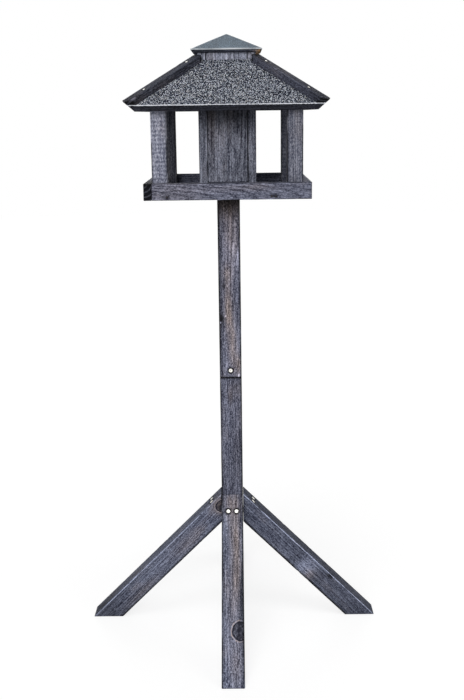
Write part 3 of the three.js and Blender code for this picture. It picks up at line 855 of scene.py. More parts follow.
def new_piece(name, bm, material, body="root"):
    """An object from a bmesh, shaded smooth, riding on a body."""
    piece = placed(name, mesh_of(name, bm))
    piece.data.materials.append(material)
    smooth(piece.data)
    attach(piece, body)
    return piece


def cut_holes(piece, holes):
    """Cuts the solids in a bmesh out of a piece."""
    tool = placed("holes", mesh_of("holes", holes))
    modifier = piece.modifiers.new("holes", "BOOLEAN")
    modifier.operation = "DIFFERENCE"
    modifier.solver = "EXACT"
    modifier.object = tool
    whole = piece.data
    graph = bpy.context.evaluated_depsgraph_get()
    piece.data = bpy.data.meshes.new_from_object(piece.evaluated_get(graph))
    piece.modifiers.clear()
    if len(piece.data.polygons) <= len(whole.polygons) / 2:
        raise RuntimeError(f"{piece.name}: the holes took too much away")
    bpy.data.meshes.remove(whole)
    tool_mesh = tool.data
    bpy.data.objects.remove(tool)
    bpy.data.meshes.remove(tool_mesh)
    smooth(piece.data)


def placing_of(x, y, z, middle):
    """The placing that takes the axes to these directions and zero to the middle."""
    placing = Matrix((x, y, z)).transposed().to_4x4()
    placing.translation = middle
    return placing


def bench_of(corners, along):
    """The frame in which a piece is described: z along its grain, from the middle."""
    zero = Vector((0, 0, 0))

    def direction(axis):
        step = 1 << axis
        spans = (corners[i + step] - corners[i] for i in range(8) if not i & step)
        return sum(spans, zero).normalized()

    z = direction(along)
    x = direction(0 if along == 2 else 2)
    x = (x - z * x.dot(z)).normalized()
    y = z.cross(x)
    return placing_of(x, y, z, sum(corners, zero) / 8)


def paint(piece, node, bench, pits=()):
    """Stores what the material reads: place along the grain, painted tints, with their painted shade
    and light, and the knot.
    """
    mesh = piece.data
    to_bench = bench.inverted()
    seed = seed_of(node)
    dice = random.Random(seed)
    heart = Heart(dice.uniform(-30, 30), dice.uniform(25, 60), dice.uniform(-0.03, 0.03))
    shift = dice.uniform(-300, 300) * MM
    heart = HEARTS.get(node, heart)
    knot = KNOTS.get(node, NO_KNOT)
    values = {"grain": [], "tint": [], "knot": []}
    for vert in mesh.vertices:
        here = to_bench @ vert.co
        tint = {"dark": 0.0, "brown": 0.0, "pale": 0.0}
        for patch in PATCHES.get(node, ()):
            off = [(here[a] / MM - patch.at[a]) / patch.reach[a] for a in range(3)]
            tint[patch.tint] += patch.strength * math.exp(-sum(o * o for o in off))
        # Painted shade round each hole, where its hollow keeps the light out
        for point, into, radius in pits:
            away = vert.co - point
            side = (away - into * away.dot(into)).length
            gloom = min(2.0, radius / FULL_PIT)
            tint["dark"] += gloom * max(0.0, 1 - max(0.0, side - radius) / (PIT_SHADE * radius))
        values["grain"].extend((here.x + heart.x * MM, here.y + heart.y * MM + here.z * heart.taper,
                                here.z + shift))
        values["tint"].extend(tint.values())
        values["knot"].extend((here[a] / MM - knot.at[a]) / knot.half[a] for a in range(3))
    for name, numbers in values.items():
        layer = mesh.attributes.new(name, "FLOAT_VECTOR", "POINT")
        layer.data.foreach_set("vector", numbers)


def box_corners(low, high):
    """The eight corners of an upright box, with x the quickest."""
    return [Vector((high.x if i & 1 else low.x, high.y if i & 2 else low.y,
                    high.z if i & 4 else low.z)) for i in range(8)]


def dress_timber(context, node, corners, kind, along=2, pits=(), body="root",
                 extra=((), (), ()), finer=1.0):
    """Replaces a node by a finer piece of timber on the same corners."""
    timber = context.scene.bird_table_timber
    bm = block(corners, getattr(timber, KINDS[kind].arris), timber.cell / finer, along, extra)
    weathered(bm, timber.wave, timber.chip, seed_of(node))
    piece = new_piece(f"{node}_timber", bm, timber_finish(context.scene, kind),
                      body)
    if pits:
        holes = bmesh.new()
        for hole in pits:
            add_hole(holes, *hole)
        cut_holes(piece, holes)
    paint(piece, node, bench_of(corners, along), pits)
    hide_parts(node)
    return piece


def rim_points(radius, height, steps=ROUND_STEPS):
    return [Vector((radius * math.cos(2 * math.pi * i / steps),
                    radius * math.sin(2 * math.pi * i / steps), height)) for i in range(steps)]


def turned(bm, profile, placing, steps=ROUND_STEPS):
    """Adds a turned solid: radii and heights from the top middle to the bottom middle."""
    rings = []
    for radius, height in profile:
        points = rim_points(radius, height, steps) if radius else [Vector((0, 0, height))]
        rings.append([bm.verts.new(placing @ point) for point in points])
    skin(bm, rings)


def driven(point, into):
    """Places a fastener that lies along its own -Z at a point, driven in a direction."""
    turn = Vector((0, 0, -1)).rotation_difference(into).to_matrix().to_4x4()
    turn.translation = point
    return turn


def bore(bm, point, into, walls):
    """Adds the solid of a hole with flat ends: its radii and heights from the top."""
    turned(bm, [(0, walls[0][1]), *walls, (0, walls[-1][1])], driven(point, into))


def add_hole(bm, point, into, radius):
    """The hole that a fastener sits in: straight at its mouth, with a cone and a core below."""
    core = min(radius, SCREW_SHANK + HOLE_PLAY)
    rim = -SCREW_RIM - HOLE_PLAY
    bore(bm, point, into, [(radius, HOLE_MOUTH), (radius, rim), (core, rim - SCREW_CONE),
                           (core, -3 * SCREW_CONE)])


def head_of(node, into):
    """The middle of the top of a fastener's head, from its node."""
    points = [vert.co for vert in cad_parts[node].data.vertices]
    least = min(point.dot(into) for point in points)
    top = [point for point in points if point.dot(into) - least < HEAD_FLAT]
    side = into.orthogonal().normalized()
    other = into.cross(side)
    middle = into * least
    for axis in (side, other):
        spread = [point.dot(axis) for point in top]
        middle += axis * (min(spread) + max(spread)) / 2
    return middle


def node_length(node, into):
    """How long a node is along a direction."""
    spread = [vert.co.dot(into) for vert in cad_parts[node].data.vertices]
    return max(spread) - min(spread)


def leg_angle():
    """The slope of the legs, from the box of the front one."""
    low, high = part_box("leg_front")
    return math.atan2(high.z, high.y - low.y)


def leg_screw_direction(turns):
    """The way that a leg's screws are driven: square to the leg."""
    angle = leg_angle()
    into = Vector((0, math.sin(angle), -math.cos(angle)))
    return (quarter_turn(turns).to_3x3() @ into).normalized()


FORWARD = Vector((0, 1, 0))
DOWN = Vector((0, 0, -1))


def screws():
    """Each screw's node with the direction it is driven in."""
    found = [("post_screw", FORWARD), ("floor_screw_1", DOWN), ("floor_screw_2", DOWN)]
    for turns, side in enumerate(SIDES):
        found += [(f"leg_screw_{side}_{i}", leg_screw_direction(turns)) for i in (1, 2)]
    return found


def pit(node, into):
    """Where a screw's hole opens: a point, a direction and a radius."""
    return head_of(node, into), into, SCREW_HEAD + HOLE_PLAY


def lines_round(place, radius):
    """Extra mesh lines on both sides of a hole."""
    return (place - 1.5 * radius, place - radius, place, place + radius, place + 1.5 * radius)


class BIRDTABLE_OT_posts(bpy.types.Operator):
    """Makes the two lengths of the post"""

    bl_idname = "birdtable.posts"
    bl_label = "Make the post"

    def execute(self, context):
        for node in ("post_lower", "post_upper"):
            low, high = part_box(node)
            pits, extra = [], ((), (), ())
            if node == "post_upper":
                point, into, radius = pit("post_screw", FORWARD)
                pits = [(point, into, radius)]
                extra = (lines_round(point.x - low.x, radius), (),
                         lines_round(point.z - low.z, radius))
            dress_timber(context, node, box_corners(low, high), "post", pits=pits, extra=extra,
                         finer=2.0)
        return {"FINISHED"}


class BIRDTABLE_OT_dowel(bpy.types.Operator):
    """Makes the fluted dowel inside the post"""

    bl_idname = "birdtable.dowel"
    bl_label = "Make the dowel"
    flutes = 16
    flute_depth = 0.5 * MM
    nose = 2 * MM

    def execute(self, context):
        low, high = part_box("post_dowel")
        radius = (high.x - low.x) / 2
        bm = bmesh.new()
        rings = [self.ring(bm, radius - self.nose, low.z), self.ring(bm, radius, low.z + self.nose),
                 self.ring(bm, radius, high.z - self.nose), self.ring(bm, radius - self.nose, high.z)]
        skin(bm, rings, others=(rings[0], rings[-1]))
        piece = new_piece("post_dowel_fluted", bm, timber_finish(context.scene, "bare"))
        holes = bmesh.new()
        core = SCREW_SHANK + HOLE_PLAY / 2
        bore(holes, head_of("post_screw", FORWARD), FORWARD, [(core, 0), (core, -BORE_DEPTH)])
        cut_holes(piece, holes)
        paint(piece, "post_dowel", bench_of(box_corners(low, high), 2))
        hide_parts("post_dowel")
        return {"FINISHED"}

    def ring(self, bm, radius, height):
        """One ring of points, drawn in at the flutes."""
        steps = 4 * self.flutes
        made = []
        for i in range(steps):
            angle = math.tau * i / steps
            reach = radius - self.flute_depth * max(0.0, math.cos(angle * self.flutes))
            made.append(bm.verts.new((reach * math.cos(angle), reach * math.sin(angle), height)))
        return made


class BIRDTABLE_OT_legs(bpy.types.Operator):
    """Makes the four splayed legs"""

    bl_idname = "birdtable.legs"
    bl_label = "Make the legs"

    def execute(self, context):
        low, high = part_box("leg_front")
        angle = leg_angle()
        stock = high.x - low.x
        foot_line = ((low.y, 0), (low.y + stock / math.sin(angle), 0))
        head_line = ((high.y, high.z), (high.y, high.z - stock / math.cos(angle)))
        front = [Vector((x, y, z)) for y, z in foot_line + head_line for x in (low.x, high.x)]
        for turns, side in enumerate(SIDES):
            into = leg_screw_direction(turns)
            pits = [pit(f"leg_screw_{side}_{i}", into) for i in (1, 2)]
            corners = swung(front, turns)
            to_bench = bench_of(corners, 2).inverted()
            half = (corners[4] - corners[0]).length / 2
            spots = [to_bench @ point for point, _, _ in pits]
            radius = pits[0][2]
            across = tuple(place for spot in spots
                           for place in lines_round(spot.x + stock / 2, radius))
            dress_timber(context, f"leg_{side}", corners, "splay" if turns % 2 else "leg", pits=pits,
                         extra=(across, (), lines_round(spots[0].z + half, radius)), finer=1.4)
        return {"FINISHED"}


class BIRDTABLE_OT_tray(bpy.types.Operator):
    """Makes the tray: its floor, its four rails and their brads"""

    bl_idname = "birdtable.tray"
    bl_label = "Make the tray"

    def execute(self, context):
        low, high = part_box("tray_floor")
        pits = [pit(f"floor_screw_{i}", DOWN) for i in (1, 2)]
        floor_lines = tuple(place for hole in pits
                            for place in lines_round(hole[0].x - low.x, hole[2]))
        dress_timber(context, "tray_floor", box_corners(low, high), "tray", along=0, pits=pits,
                     extra=(floor_lines, lines_round(pits[0][0].y - low.y, pits[0][2]), ()))
        for turns, side in enumerate(SIDES):
            self.make_rail(context, turns, side, (low.z + high.z) / 2)
        return {"FINISHED"}

    @staticmethod
    def make_rail(context, turns, side, height):
        """One rail with its holes, and the brads in them."""
        low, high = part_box("tray_rail_front")
        corners = swung(box_corners(low, high), turns)
        points = swung([Vector((x, low.y + BRAD_SINK, height)) for x in BRAD_PLACES[side]], turns)
        into = (quarter_turn(turns).to_3x3() @ FORWARD).normalized()
        lines = tuple(x - low.x + aside for x in BRAD_PLACES[side]
                      for aside in (-BRAD_HOLE, 0, BRAD_HOLE))
        dress_timber(context, f"tray_rail_{side}", corners, "tray", along=0,
                     pits=[(point, into, BRAD_HOLE) for point in points], extra=(lines, (), ()))
        bm = bmesh.new()
        for point in points:
            turned(bm, BRAD_PROFILE, driven(point, into), BRAD_STEPS)
        brads = new_piece(f"rail_brads_{side}", bm, steel_finish(context.scene, "dull_steel"))
        paint(brads, brads.name, bench_of(corners, 0))


class BIRDTABLE_OT_corner_posts(bpy.types.Operator):
    """Makes the four corner posts between the tray and the roof"""

    bl_idname = "birdtable.corner_posts"
    bl_label = "Make the corner posts"
    roof_gap = 0.4 * MM

    def execute(self, context):
        low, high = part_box("corner_post_front_left")
        corners = box_corners(low, high)
        for i in range(4, 8):
            outer = max(-corners[i].x, -corners[i].y)
            corners[i].z = roof_height(outer, BOARD_DEPTH + BOARD_THICKNESS) - self.roof_gap
        for turns, corner in enumerate(CORNERS):
            dress_timber(context, f"corner_post_{corner}", swung(corners, turns),
                         "corner" if turns % 2 else "sawn")
        return {"FINISHED"}


class BIRDTABLE_OT_silo(bpy.types.Operator):
    """Makes the four boards of the seed silo"""

    bl_idname = "birdtable.silo"
    bl_label = "Make the silo"

    def execute(self, context):
        front = box_corners(*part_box("silo_board_front"))
        ends = swung(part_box("silo_board_right"), -1)
        beside = box_corners(Vector(map(min, *ends)), Vector(map(max, *ends)))
        for turns, side in enumerate(SIDES):
            corners = swung(beside if turns % 2 else front, turns)
            dress_timber(context, f"silo_board_{side}", corners, "silo")
        return {"FINISHED"}


def roof_halves():
    """Half widths of the roof at the eaves and at the silo, and the height at the silo."""
    low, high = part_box("roof_felt_front")
    return -low.y, -high.y, high.z


def roof_height(radius, depth):
    """Height of the roof at a distance from the axis, at a depth below the felt's face."""
    _, inner, top = roof_halves()
    return top - (radius - inner) * math.tan(ROOF_SLOPE) - depth / math.cos(ROOF_SLOPE)


def eave_point(depth):
    """Distance from the axis and height of the slanted eaves, at a depth below the felt's face."""
    outer, _, _ = roof_halves()
    along = depth / math.cos(EAVE_LEAN - ROOF_SLOPE)
    return outer - along * math.sin(EAVE_LEAN), roof_height(outer, 0) - along * math.cos(EAVE_LEAN)


class BIRDTABLE_OT_roof_boards(bpy.types.Operator):
    """Makes the four mitred roof boards"""

    bl_idname = "birdtable.roof_boards"
    bl_label = "Make the roof boards"

    def execute(self, context):
        _, inner, _ = roof_halves()
        deep = BOARD_DEPTH + BOARD_THICKNESS
        rows = ((eave_point(deep), eave_point(BOARD_DEPTH)),
                ((inner, roof_height(inner, deep)), (inner, roof_height(inner, BOARD_DEPTH))))
        front = []
        for upper in (0, 1):
            for outward in (0, 1):
                radius, height = rows[outward][upper]
                half = radius - MITRE_GAP
                front += [Vector((-half, -radius, height)), Vector((half, -radius, height))]
        for turns, side in enumerate(SIDES):
            dress_timber(context, f"roof_board_{side}", swung(front, turns), "roof", along=0)
        return {"FINISHED"}


class BIRDTABLE_OT_felt(bpy.types.Operator):
    """Makes the four sheets of granular roofing felt"""

    bl_idname = "birdtable.felt"
    bl_label = "Make the felt"
    edge_row = 0.9 * MM
    ripple = 1.3 * MM
    ripple_span = 11 * MM

    def execute(self, context):
        roof = context.scene.bird_table_roof
        material = felt_material(roof)
        for turns, side in enumerate(SIDES):
            placing = quarter_turn(turns)
            dice = random.Random(seed_of(side))
            bm = bmesh.new()
            cut = bm.verts.layers.float.new("end")
            grid = self.face_of_granules(bm, cut, roof, turns, dice)
            skin(bm, grid, closed=False)
            self.close_underside(bm, cut, grid, placing, dice)
            piece = new_piece(f"felt_{side}", bm, material)
            paint(piece, piece.name, placing)
            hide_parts(f"roof_felt_{side}")
        return {"FINISHED"}

    def face_of_granules(self, bm, cut, roof, turns, dice):
        """Rows of points up the slope, each sunk a little, with a wavy first row at the eave."""
        outer, inner, top = roof_halves()
        eave = roof_height(outer, 0)
        slope = math.hypot(outer - inner, top - eave)
        count = round(slope / roof.felt_cell)
        columns = round(2 * outer / roof.felt_cell)
        placing = quarter_turn(turns)
        normal = placing.to_3x3() @ Vector((0, -math.sin(ROOF_SLOPE), math.cos(ROOF_SLOPE)))
        grid = []
        for share in (0.0, self.edge_row / slope, *(i / count for i in range(1, count + 1))):
            radius = outer + (inner - outer) * share
            height = eave + (top - eave) * share
            line = []
            for i in range(columns + 1):
                x = (2 * i / columns - 1) * (radius - MITRE_GAP)
                point = placing @ Vector((x, -radius, height))
                if share == 0.0:
                    wave = 0.5 + 0.5 * noise.noise((x / self.ripple_span, turns, 0))
                    point += placing.to_3x3() @ Vector((0, 1, 0.3)) * self.ripple * wave
                vert = bm.verts.new(point - normal * roof.grit * dice.random())
                vert[cut] = 1.0 if share == 0.0 else 0.0
                line.append(vert)
            grid.append(line)
        return grid

    @staticmethod
    def close_underside(bm, cut, grid, placing, dice):
        """Joins the rim of the granular face to a flat underside."""
        low = Vector(eave_point(FELT_THICKNESS))
        _, inner, _ = roof_halves()
        high = Vector((inner, roof_height(inner, FELT_THICKNESS)))
        rim = grid[0][:-1] + [line[-1] for line in grid[:-1]]
        rim += grid[-1][:0:-1] + [line[0] for line in grid[:0:-1]]
        back = placing.inverted()
        outer_top, inner_top = -(back @ grid[0][0].co).y, -(back @ grid[-1][0].co).y
        below = []
        for vert in rim:
            here = back @ vert.co
            share = min(1.0, max(0.0, (outer_top + here.y) / (outer_top - inner_top)))
            radius, height = low.lerp(high, share)
            reach = max(1e-6, outer_top + (inner_top - outer_top) * share - MITRE_GAP)
            x = min(1.0, max(-1.0, here.x / reach)) * (radius - MITRE_GAP)
            made = bm.verts.new(placing @ Vector((x, -radius, height)))
            made[cut] = vert[cut] * (0.1 + 0.5 * dice.random())
            below.append(made)
        skin(bm, (rim, below), others=(below,))


def hip_frame():
    """Directions of the front left hip: across it, out of the roof and down along it."""
    across = Vector((1, -1, 0)).normalized()
    out = Vector((-1, -1, math.sqrt(2) / math.tan(HIP_FALL))).normalized()
    return across, out, across.cross(out)


class BIRDTABLE_OT_laths(bpy.types.Operator):
    """Makes the four laths over the hips"""

    bl_idname = "birdtable.laths"
    bl_label = "Make the hip laths"
    arris = 1.1 * MM
    top_steps = 6
    side_steps = 2
    hole_mouth = 9 * MM
    hole_head = 1.3 * MM
    hole_neck = 1.6 * MM

    def outline(self):
        """The section: a groove below that sits over the hip, and rounded upper edges."""
        half = LATH_WIDTH / 2
        fall = math.sin(HIP_FALL)
        groove_top = LATH_LIFT / math.cos(math.atan(fall))
        groove_foot = groove_top - half * fall
        right = [(0, groove_top), (half / 2, groove_top - half / 2 * fall), (half, groove_foot)]
        rise = LATH_CROWN - self.arris - groove_foot
        right += [(half, groove_foot + rise * i / self.side_steps)
                  for i in range(1, self.side_steps + 1)]
        for i in (1, 2, 3):
            angle = i * math.pi / 6
            right.append((half - self.arris + self.arris * math.cos(angle),
                          LATH_CROWN - self.arris + self.arris * math.sin(angle)))
        flat = half - self.arris
        right += [(flat * (1 - i / self.top_steps), LATH_CROWN)
                  for i in range(1, self.top_steps + 1)]
        left = [(-x, y) for x, y in right[-2:0:-1]]
        return right, left

    @staticmethod
    def spans(section):
        """For each point of the section: its base, and where its line begins and ends down the hip."""
        across, out, down = hip_frame()
        outer, inner, top = roof_halves()
        start = Vector((-inner, -inner, top))
        eave = roof_height(outer, 0)
        tangent = math.tan(EAVE_LEAN)
        found = []
        for x, y in section:
            base = start + across * x + out * y
            ends = [-(outer + (base.z - eave) * tangent + base[axis])
                    / (down[axis] + down.z * tangent) for axis in (0, 1)]
            begin = -(2 * inner + base.x + base.y) / (down.x + down.y)
            found.append((base, begin, min(ends)))
        return found

    def execute(self, context):
        timber = context.scene.bird_table_timber
        across, out, down = hip_frame()
        right, left = self.outline()
        section = right + left
        top = len(right) - 1
        spans = self.spans(section)
        mean = sum(end - begin for _, begin, end in spans) / len(spans)
        count = round(mean / timber.cell)
        _, inner, height = roof_halves()
        bench = placing_of(across, out, down, Vector((-inner, -inner, height)) + down * mean / 2)
        for turns, corner in enumerate(CORNERS):
            placing = quarter_turn(turns)
            bm = bmesh.new()
            edge = bm.verts.layers.float.new("edge")
            end_layer = bm.verts.layers.float.new("end")
            rings = []
            for i in range(count + 1):
                ring = []
                for (x, y), (base, begin, end) in zip(section, spans):
                    point = base + down * (begin + (end - begin) * i / count)
                    vert = bm.verts.new(placing @ point)
                    near = abs(abs(x) - LATH_WIDTH / 2) < 1.2 * self.arris and y > LATH_CROWN / 2
                    vert[edge] = 1.0 if near else 0.0
                    vert[end_layer] = 1.0 if i in (0, count) else 0.0
                    ring.append(vert)
                rings.append(ring)
            halves = [half for ring in (rings[0], rings[-1])
                      for half in (ring[:top + 1], ring[top:] + ring[:1])]
            skin(bm, rings, others=halves)
            node = f"hip_lath_{corner}"
            weathered(bm, timber.wave, timber.chip, seed_of(node))
            piece = new_piece(f"{node}_timber", bm, timber_finish(context.scene, "roof"))
            paint(piece, node, placing @ bench, self.nail_holes(piece, corner, placing @ -out))
            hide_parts(node)
        return {"FINISHED"}

    def nail_holes(self, piece, corner, into):
        """Cuts the holes of the two nails, and gives the places that they shade."""
        head, shank = NAIL_HEAD + HOLE_PLAY, NAIL_SHANK + HOLE_PLAY
        holes = bmesh.new()
        pits = [(head_of(f"lath_nail_{corner}_{i}", into), into, head) for i in (1, 2)]
        for point, _, _ in pits:
            bore(holes, point, into, [(head, self.hole_mouth), (head, -self.hole_head),
                                      (shank, -self.hole_neck), (shank, -LATH_CROWN * 2)])
        cut_holes(piece, holes)
        return pits


class BIRDTABLE_OT_lid(bpy.types.Operator):
    """Makes the lid: its folded cover, wooden base and locating block"""

    bl_idname = "birdtable.lid"
    bl_label = "Make the lid"
    steps = 18
    # Rings of the cover as shares of its half width, closer at the peak and at the fold
    rings = (0.03, 0.08, 0.15, 0.24, 0.34, 0.45, 0.56, 0.67, 0.78, 0.87, 0.94, 0.985, 1.0)
    fold = 0.5 * MM
    dent = 0.35 * MM
    dent_span = 24 * MM

    def execute(self, context):
        self.make_cover(context)
        for node, kind in (("lid_base", "roof"), ("lid_block", "bare")):
            dress_timber(context, node, box_corners(*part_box(node)), kind, along=0, body="lid")
        return {"FINISHED"}

    def make_cover(self, context):
        """The folded sheet: from the peak over the outside to the fold, and back up inside."""
        low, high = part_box("lid_cover")
        half = high.x
        inner = half - LID_SHEET
        edge = high.z - LID_RISE
        under = edge - LID_LIP
        slope = LID_RISE / half
        thick = LID_SHEET / math.cos(math.atan(slope)) + self.dent
        bm = bmesh.new()
        edge_layer = bm.verts.layers.float.new("edge")

        def sloped(x, y):
            """The height of the slopes, rounded over the hips."""
            steep = (abs(x) + abs(y) + math.hypot(abs(x) - abs(y), LID_HIP_ROUND)) / 2
            return high.z - slope * steep

        def outside(x, y):
            dip = self.dent * (0.5 + 0.5 * noise.noise(Vector((x, y, 0.3)) / self.dent_span))
            return sloped(x, y) - dip

        def inside(x, y):
            return sloped(x, y) - thick

        def ring(radius, height, edge_highlight):
            """A square ring of points, at a height or on a surface."""
            made = []
            for side in range(4):
                for i in range(self.steps):
                    along = -1 + 2 * i / self.steps
                    point = quarter_turn(side) @ Vector((along * radius, -radius, 0))
                    point.z = height(point.x, point.y) if callable(height) else height
                    vert = bm.verts.new(point)
                    vert[edge_layer] = edge_highlight
                    made.append(vert)
            return made

        # The third value of each ring is painted highlight along the fold, where the sheet catches the
        # light
        rings = [[bm.verts.new((0, 0, outside(0, 0)))]]
        rings += [ring(half * share, outside, 0.25 if share > 0.98 else 0.0)
                  for share in self.rings[:-1]]
        rings += [
            ring(half - self.fold * 0.3, edge - self.fold * 0.15, 0.8),
            ring(half, edge - self.fold, 1.0),
            ring(half, under + self.fold, 1.0),
            ring(half - self.fold, under, 0.7),
            ring(inner, under + self.fold / 2, 0.3),
        ]
        rings += [ring(inner * share, inside, 0.0) for share in reversed(self.rings)]
        rings.append([bm.verts.new((0, 0, inside(0, 0)))])
        skin(bm, rings)
        material = sheet_material(context.scene.bird_table_roof)
        piece = new_piece("lid_cover_sheet", bm, material, "lid")
        paint(piece, "lid_cover", Matrix.Translation((0, 0, low.z)))
        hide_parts("lid_cover")


def cross_recess():
    """The tapered cross that a driver bites into."""
    bm = bmesh.new()
    rings = []
    for height, span, width in ((CROSS_RISE, CROSS_SPAN, CROSS_WIDTH),
                                (-CROSS_DEPTH, CROSS_SPAN * 0.45, CROSS_WIDTH * 0.7)):
        arm = ((span / 2, -width / 2), (span / 2, width / 2), (width / 2, width / 2))
        rings.append([bm.verts.new(quarter_turn(turn) @ Vector((x, y, height)))
                      for turn in range(4) for x, y in arm])
    skin(bm, rings, others=rings)
    return bm


class BIRDTABLE_OT_screws(bpy.types.Operator):
    """Makes the countersunk screws with cross recesses"""

    bl_idname = "birdtable.screws"
    bl_label = "Make the screws"
    rounding = 0.25 * MM
    # How far the screws of the side legs stand out of the wood
    proud = 0.6 * MM

    def execute(self, context):
        material = steel_finish(context.scene)
        for node, into in screws():
            long = node_length(node, into)
            profile = [
                (0, 0), (SCREW_HEAD / 2, 0), (SCREW_HEAD - self.rounding, 0),
                (SCREW_HEAD, -self.rounding), (SCREW_HEAD, -SCREW_RIM),
                (SCREW_SHANK, -SCREW_RIM - SCREW_CONE), (SCREW_SHANK, SCREW_POINT - long),
                (SCREW_SHANK * 0.5, SCREW_POINT * 0.4 - long), (0, -long),
            ]
            bm = bmesh.new()
            turned(bm, profile, Matrix.Identity(4))
            piece = new_piece(f"{node}_plated", bm, material)
            cut_holes(piece, cross_recess())
            lift = self.proud if "left" in node or "right" in node else 0.0
            placing = driven(head_of(node, into) - into * lift, into)
            turn = Matrix.Rotation(random.Random(seed_of(node)).uniform(0, math.pi), 4, "Z")
            piece.data.transform(placing @ turn)
            paint(piece, piece.name, placing)
            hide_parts(node)
        return {"FINISHED"}


class BIRDTABLE_OT_nails(bpy.types.Operator):
    """Makes the clout nails of the hip laths"""

    bl_idname = "birdtable.nails"
    bl_label = "Make the lath nails"
    crown = 0.25 * MM
    head_depth = 0.7 * MM
    neck_depth = 1.1 * MM
    point = 3 * MM

    def execute(self, context):
        material = steel_finish(context.scene)
        _, out, _ = hip_frame()
        for turns, corner in enumerate(CORNERS):
            into = quarter_turn(turns).to_3x3() @ -out
            for i in (1, 2):
                node = f"lath_nail_{corner}_{i}"
                long = node_length(node, into)
                profile = [
                    (0, 0), (NAIL_HEAD * 0.4, -self.crown * 0.15),
                    (NAIL_HEAD * 0.8, -self.crown * 0.6), (NAIL_HEAD, -self.crown * 1.4),
                    (NAIL_HEAD * 0.95, -self.head_depth),
                    (NAIL_SHANK, -self.neck_depth), (NAIL_SHANK, self.point - long), (0, -long),
                ]
                bm = bmesh.new()
                turned(bm, profile, driven(head_of(node, into), into))
                piece = new_piece(f"{node}_plated", bm, material)
                paint(piece, piece.name, quarter_turn(turns))
                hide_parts(node)
        return {"FINISHED"}


def emptied(owner):
    """A material's or a world's nodes, with none left, as a Shade to start from."""
    owner.use_nodes = True
    owner.node_tree.nodes.clear()
    return Shade(owner.node_tree)


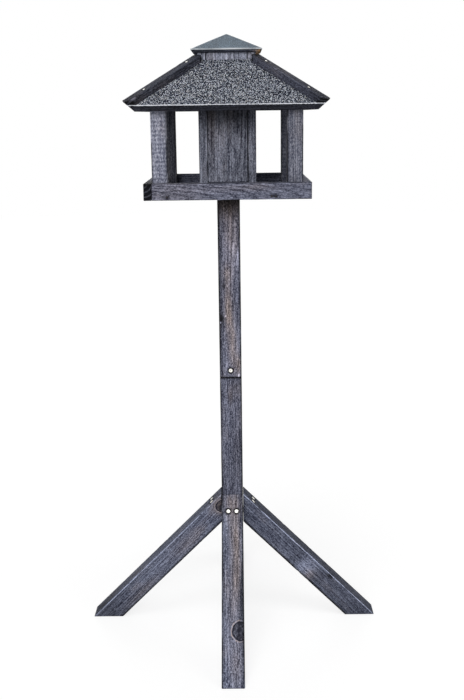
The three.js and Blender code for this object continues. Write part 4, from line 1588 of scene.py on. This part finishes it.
class BIRDTABLE_OT_stage(bpy.types.Operator):
    """Sets the floor, background, lamps and camera"""

    bl_idname = "birdtable.stage"
    bl_label = "Set the stage"

    # Camera: its place in metres, its turns in degrees, and its focal length in pixels of an
    # image of this width
    camera_at = (0.0200, -1.9821, 1.0664)
    camera_yaw = 0.491
    camera_tilt = 13.482
    camera_roll = -0.739
    focal_pixels = 986.09
    image_width = 464
    sensor_width = 36.0
    # Floor and lamps: metres from the middle, and how strongly the floor's white part glows
    floor_half = 9.0
    floor_steps = 64
    glow = 1.12
    lamp_reach = 3.0

    def execute(self, context):
        settings = context.scene.bird_table_stage
        self.set_floor(settings)
        self.set_world(context, settings)
        self.set_lamps(settings)
        self.set_camera(context)
        context.scene.view_settings.view_transform = "Standard"
        return {"FINISHED"}

    @staticmethod
    def mix(start, kind, share, first, second):
        """Ends the nodes with a mix of two shaders, where the share is the second one's."""
        mixed = start.node("ShaderNodeMixShader", None, {0: share, 1: first, 2: second})
        start.fill(start.tree.nodes.new(kind), {"Surface": mixed})

    def set_floor(self, settings):
        """A disc that keeps the shadow, though much of it glows for the camera."""
        bm = bmesh.new()
        bmesh.ops.create_circle(bm, cap_ends=True, segments=self.floor_steps,
                                radius=self.floor_half)
        floor = placed("floor", mesh_of("floor", bm))
        material = bpy.data.materials.new("pale_floor")
        start = emptied(material)
        white = solid(settings.background)
        plain = start.node("ShaderNodeBsdfDiffuse", None, {"Color": white})
        glow = start.node("ShaderNodeEmission", None, {"Color": white, "Strength": self.glow})
        straight = start.node("ShaderNodeLightPath", output="Is Camera Ray")
        self.mix(start, "ShaderNodeOutputMaterial", straight * settings.floor_glow, plain, glow)
        floor.data.materials.append(material)

    def set_world(self, context, settings):
        """A dim sky that looks white to the camera and in gloss."""
        world = bpy.data.worlds.new("studio")
        context.scene.world = world
        start = emptied(world)
        white = solid(settings.background)
        lit = start.node("ShaderNodeBackground", None, {"Color": white, "Strength": settings.sky})
        seen = start.node("ShaderNodeBackground", None, {"Color": white, "Strength": 1.0})
        straight, glossy, through = (
            start.node("ShaderNodeLightPath", output=f"Is {kind} Ray")
            for kind in ("Camera", "Glossy", "Transmission"))
        share = (straight + glossy + through).clipped()
        self.mix(start, "ShaderNodeOutputWorld", share, lit, seen)

    def set_lamps(self, settings):
        """Suns, each with its strength, its spread in degrees and the way it shines."""
        for name, strength, spread, aim in (
                ("key_lamp", settings.key, 34, (0.25, 0.92, -0.31)),
                ("top_lamp", settings.top, 30, (0.1, 0.3, -0.95)),
                ("fill_lamp", settings.fill, 30, (-0.78, 0.4, -0.48)),
                ("back_lamp", settings.back, 34, (0.05, -0.95, -0.3))):
            lamp = bpy.data.lights.new(name, "SUN")
            lamp.energy = strength
            lamp.angle = math.radians(spread)
            holder = placed(name, lamp)
            holder.location = Vector(aim) * -self.lamp_reach
            holder.rotation_euler = Vector(aim).to_track_quat("-Z", "Y").to_euler()

    def set_camera(self, context):
        """The camera that was fitted to the photograph."""
        yaw, tilt, roll = (math.radians(a) for a in
                           (self.camera_yaw, self.camera_tilt, self.camera_roll))
        ahead = Vector((-math.sin(yaw) * math.cos(tilt), math.cos(yaw) * math.cos(tilt),
                        -math.sin(tilt)))
        right = Vector((math.cos(yaw), math.sin(yaw), 0))
        up = right.cross(ahead)
        camera = bpy.data.cameras.new("camera")
        camera.sensor_fit = "HORIZONTAL"
        camera.sensor_width = self.sensor_width
        camera.lens = self.focal_pixels * self.sensor_width / self.image_width
        holder = placed("camera", camera)
        holder.matrix_world = placing_of(
            right * math.cos(roll) + up * math.sin(roll),
            up * math.cos(roll) - right * math.sin(roll), -ahead, Vector(self.camera_at))
        context.scene.camera = holder


class BIRDTABLE_PT_panel(bpy.types.Panel):
    """Lists the steps that make the bird table"""

    bl_idname = "BIRDTABLE_PT_panel"
    bl_label = "Bird table"
    bl_space_type = "VIEW_3D"
    bl_region_type = "UI"
    bl_category = "Bird table"

    def draw(self, context):
        for step in STEPS:
            self.layout.operator(step.bl_idname)
        for name in SETTINGS:
            group = getattr(context.scene, name)
            for setting in group.bl_rna.properties:
                if setting.identifier not in ("rna_type", "name"):
                    self.layout.prop(group, setting.identifier)


STEPS = (
    BIRDTABLE_OT_posts, BIRDTABLE_OT_dowel, BIRDTABLE_OT_legs, BIRDTABLE_OT_tray,
    BIRDTABLE_OT_corner_posts, BIRDTABLE_OT_silo, BIRDTABLE_OT_roof_boards, BIRDTABLE_OT_felt,
    BIRDTABLE_OT_laths, BIRDTABLE_OT_lid, BIRDTABLE_OT_screws, BIRDTABLE_OT_nails,
    BIRDTABLE_OT_stage,
)
SETTINGS = {
    "bird_table_timber": TimberSettings,
    "bird_table_stains": StainSettings,
    "bird_table_roof": RoofSettings,
    "bird_table_fasteners": FastenerSettings,
    "bird_table_stage": StageSettings,
}


def register():
    for group in SETTINGS.values():
        bpy.utils.register_class(group)
    for step in STEPS:
        bpy.utils.register_class(step)
    bpy.utils.register_class(BIRDTABLE_PT_panel)
    for name, group in SETTINGS.items():
        setattr(bpy.types.Scene, name, PointerProperty(type=group))


def unregister():
    for name in SETTINGS:
        delattr(bpy.types.Scene, name)
    bpy.utils.unregister_class(BIRDTABLE_PT_panel)
    for step in reversed(STEPS):
        bpy.utils.unregister_class(step)
    for group in reversed(SETTINGS.values()):
        bpy.utils.unregister_class(group)


def main():
    """Registers the add-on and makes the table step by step."""
    register()
    for step in STEPS:
        group, name = step.bl_idname.split(".")
        getattr(getattr(bpy.ops, group), name)()


if __name__ == "__main__":
    main()
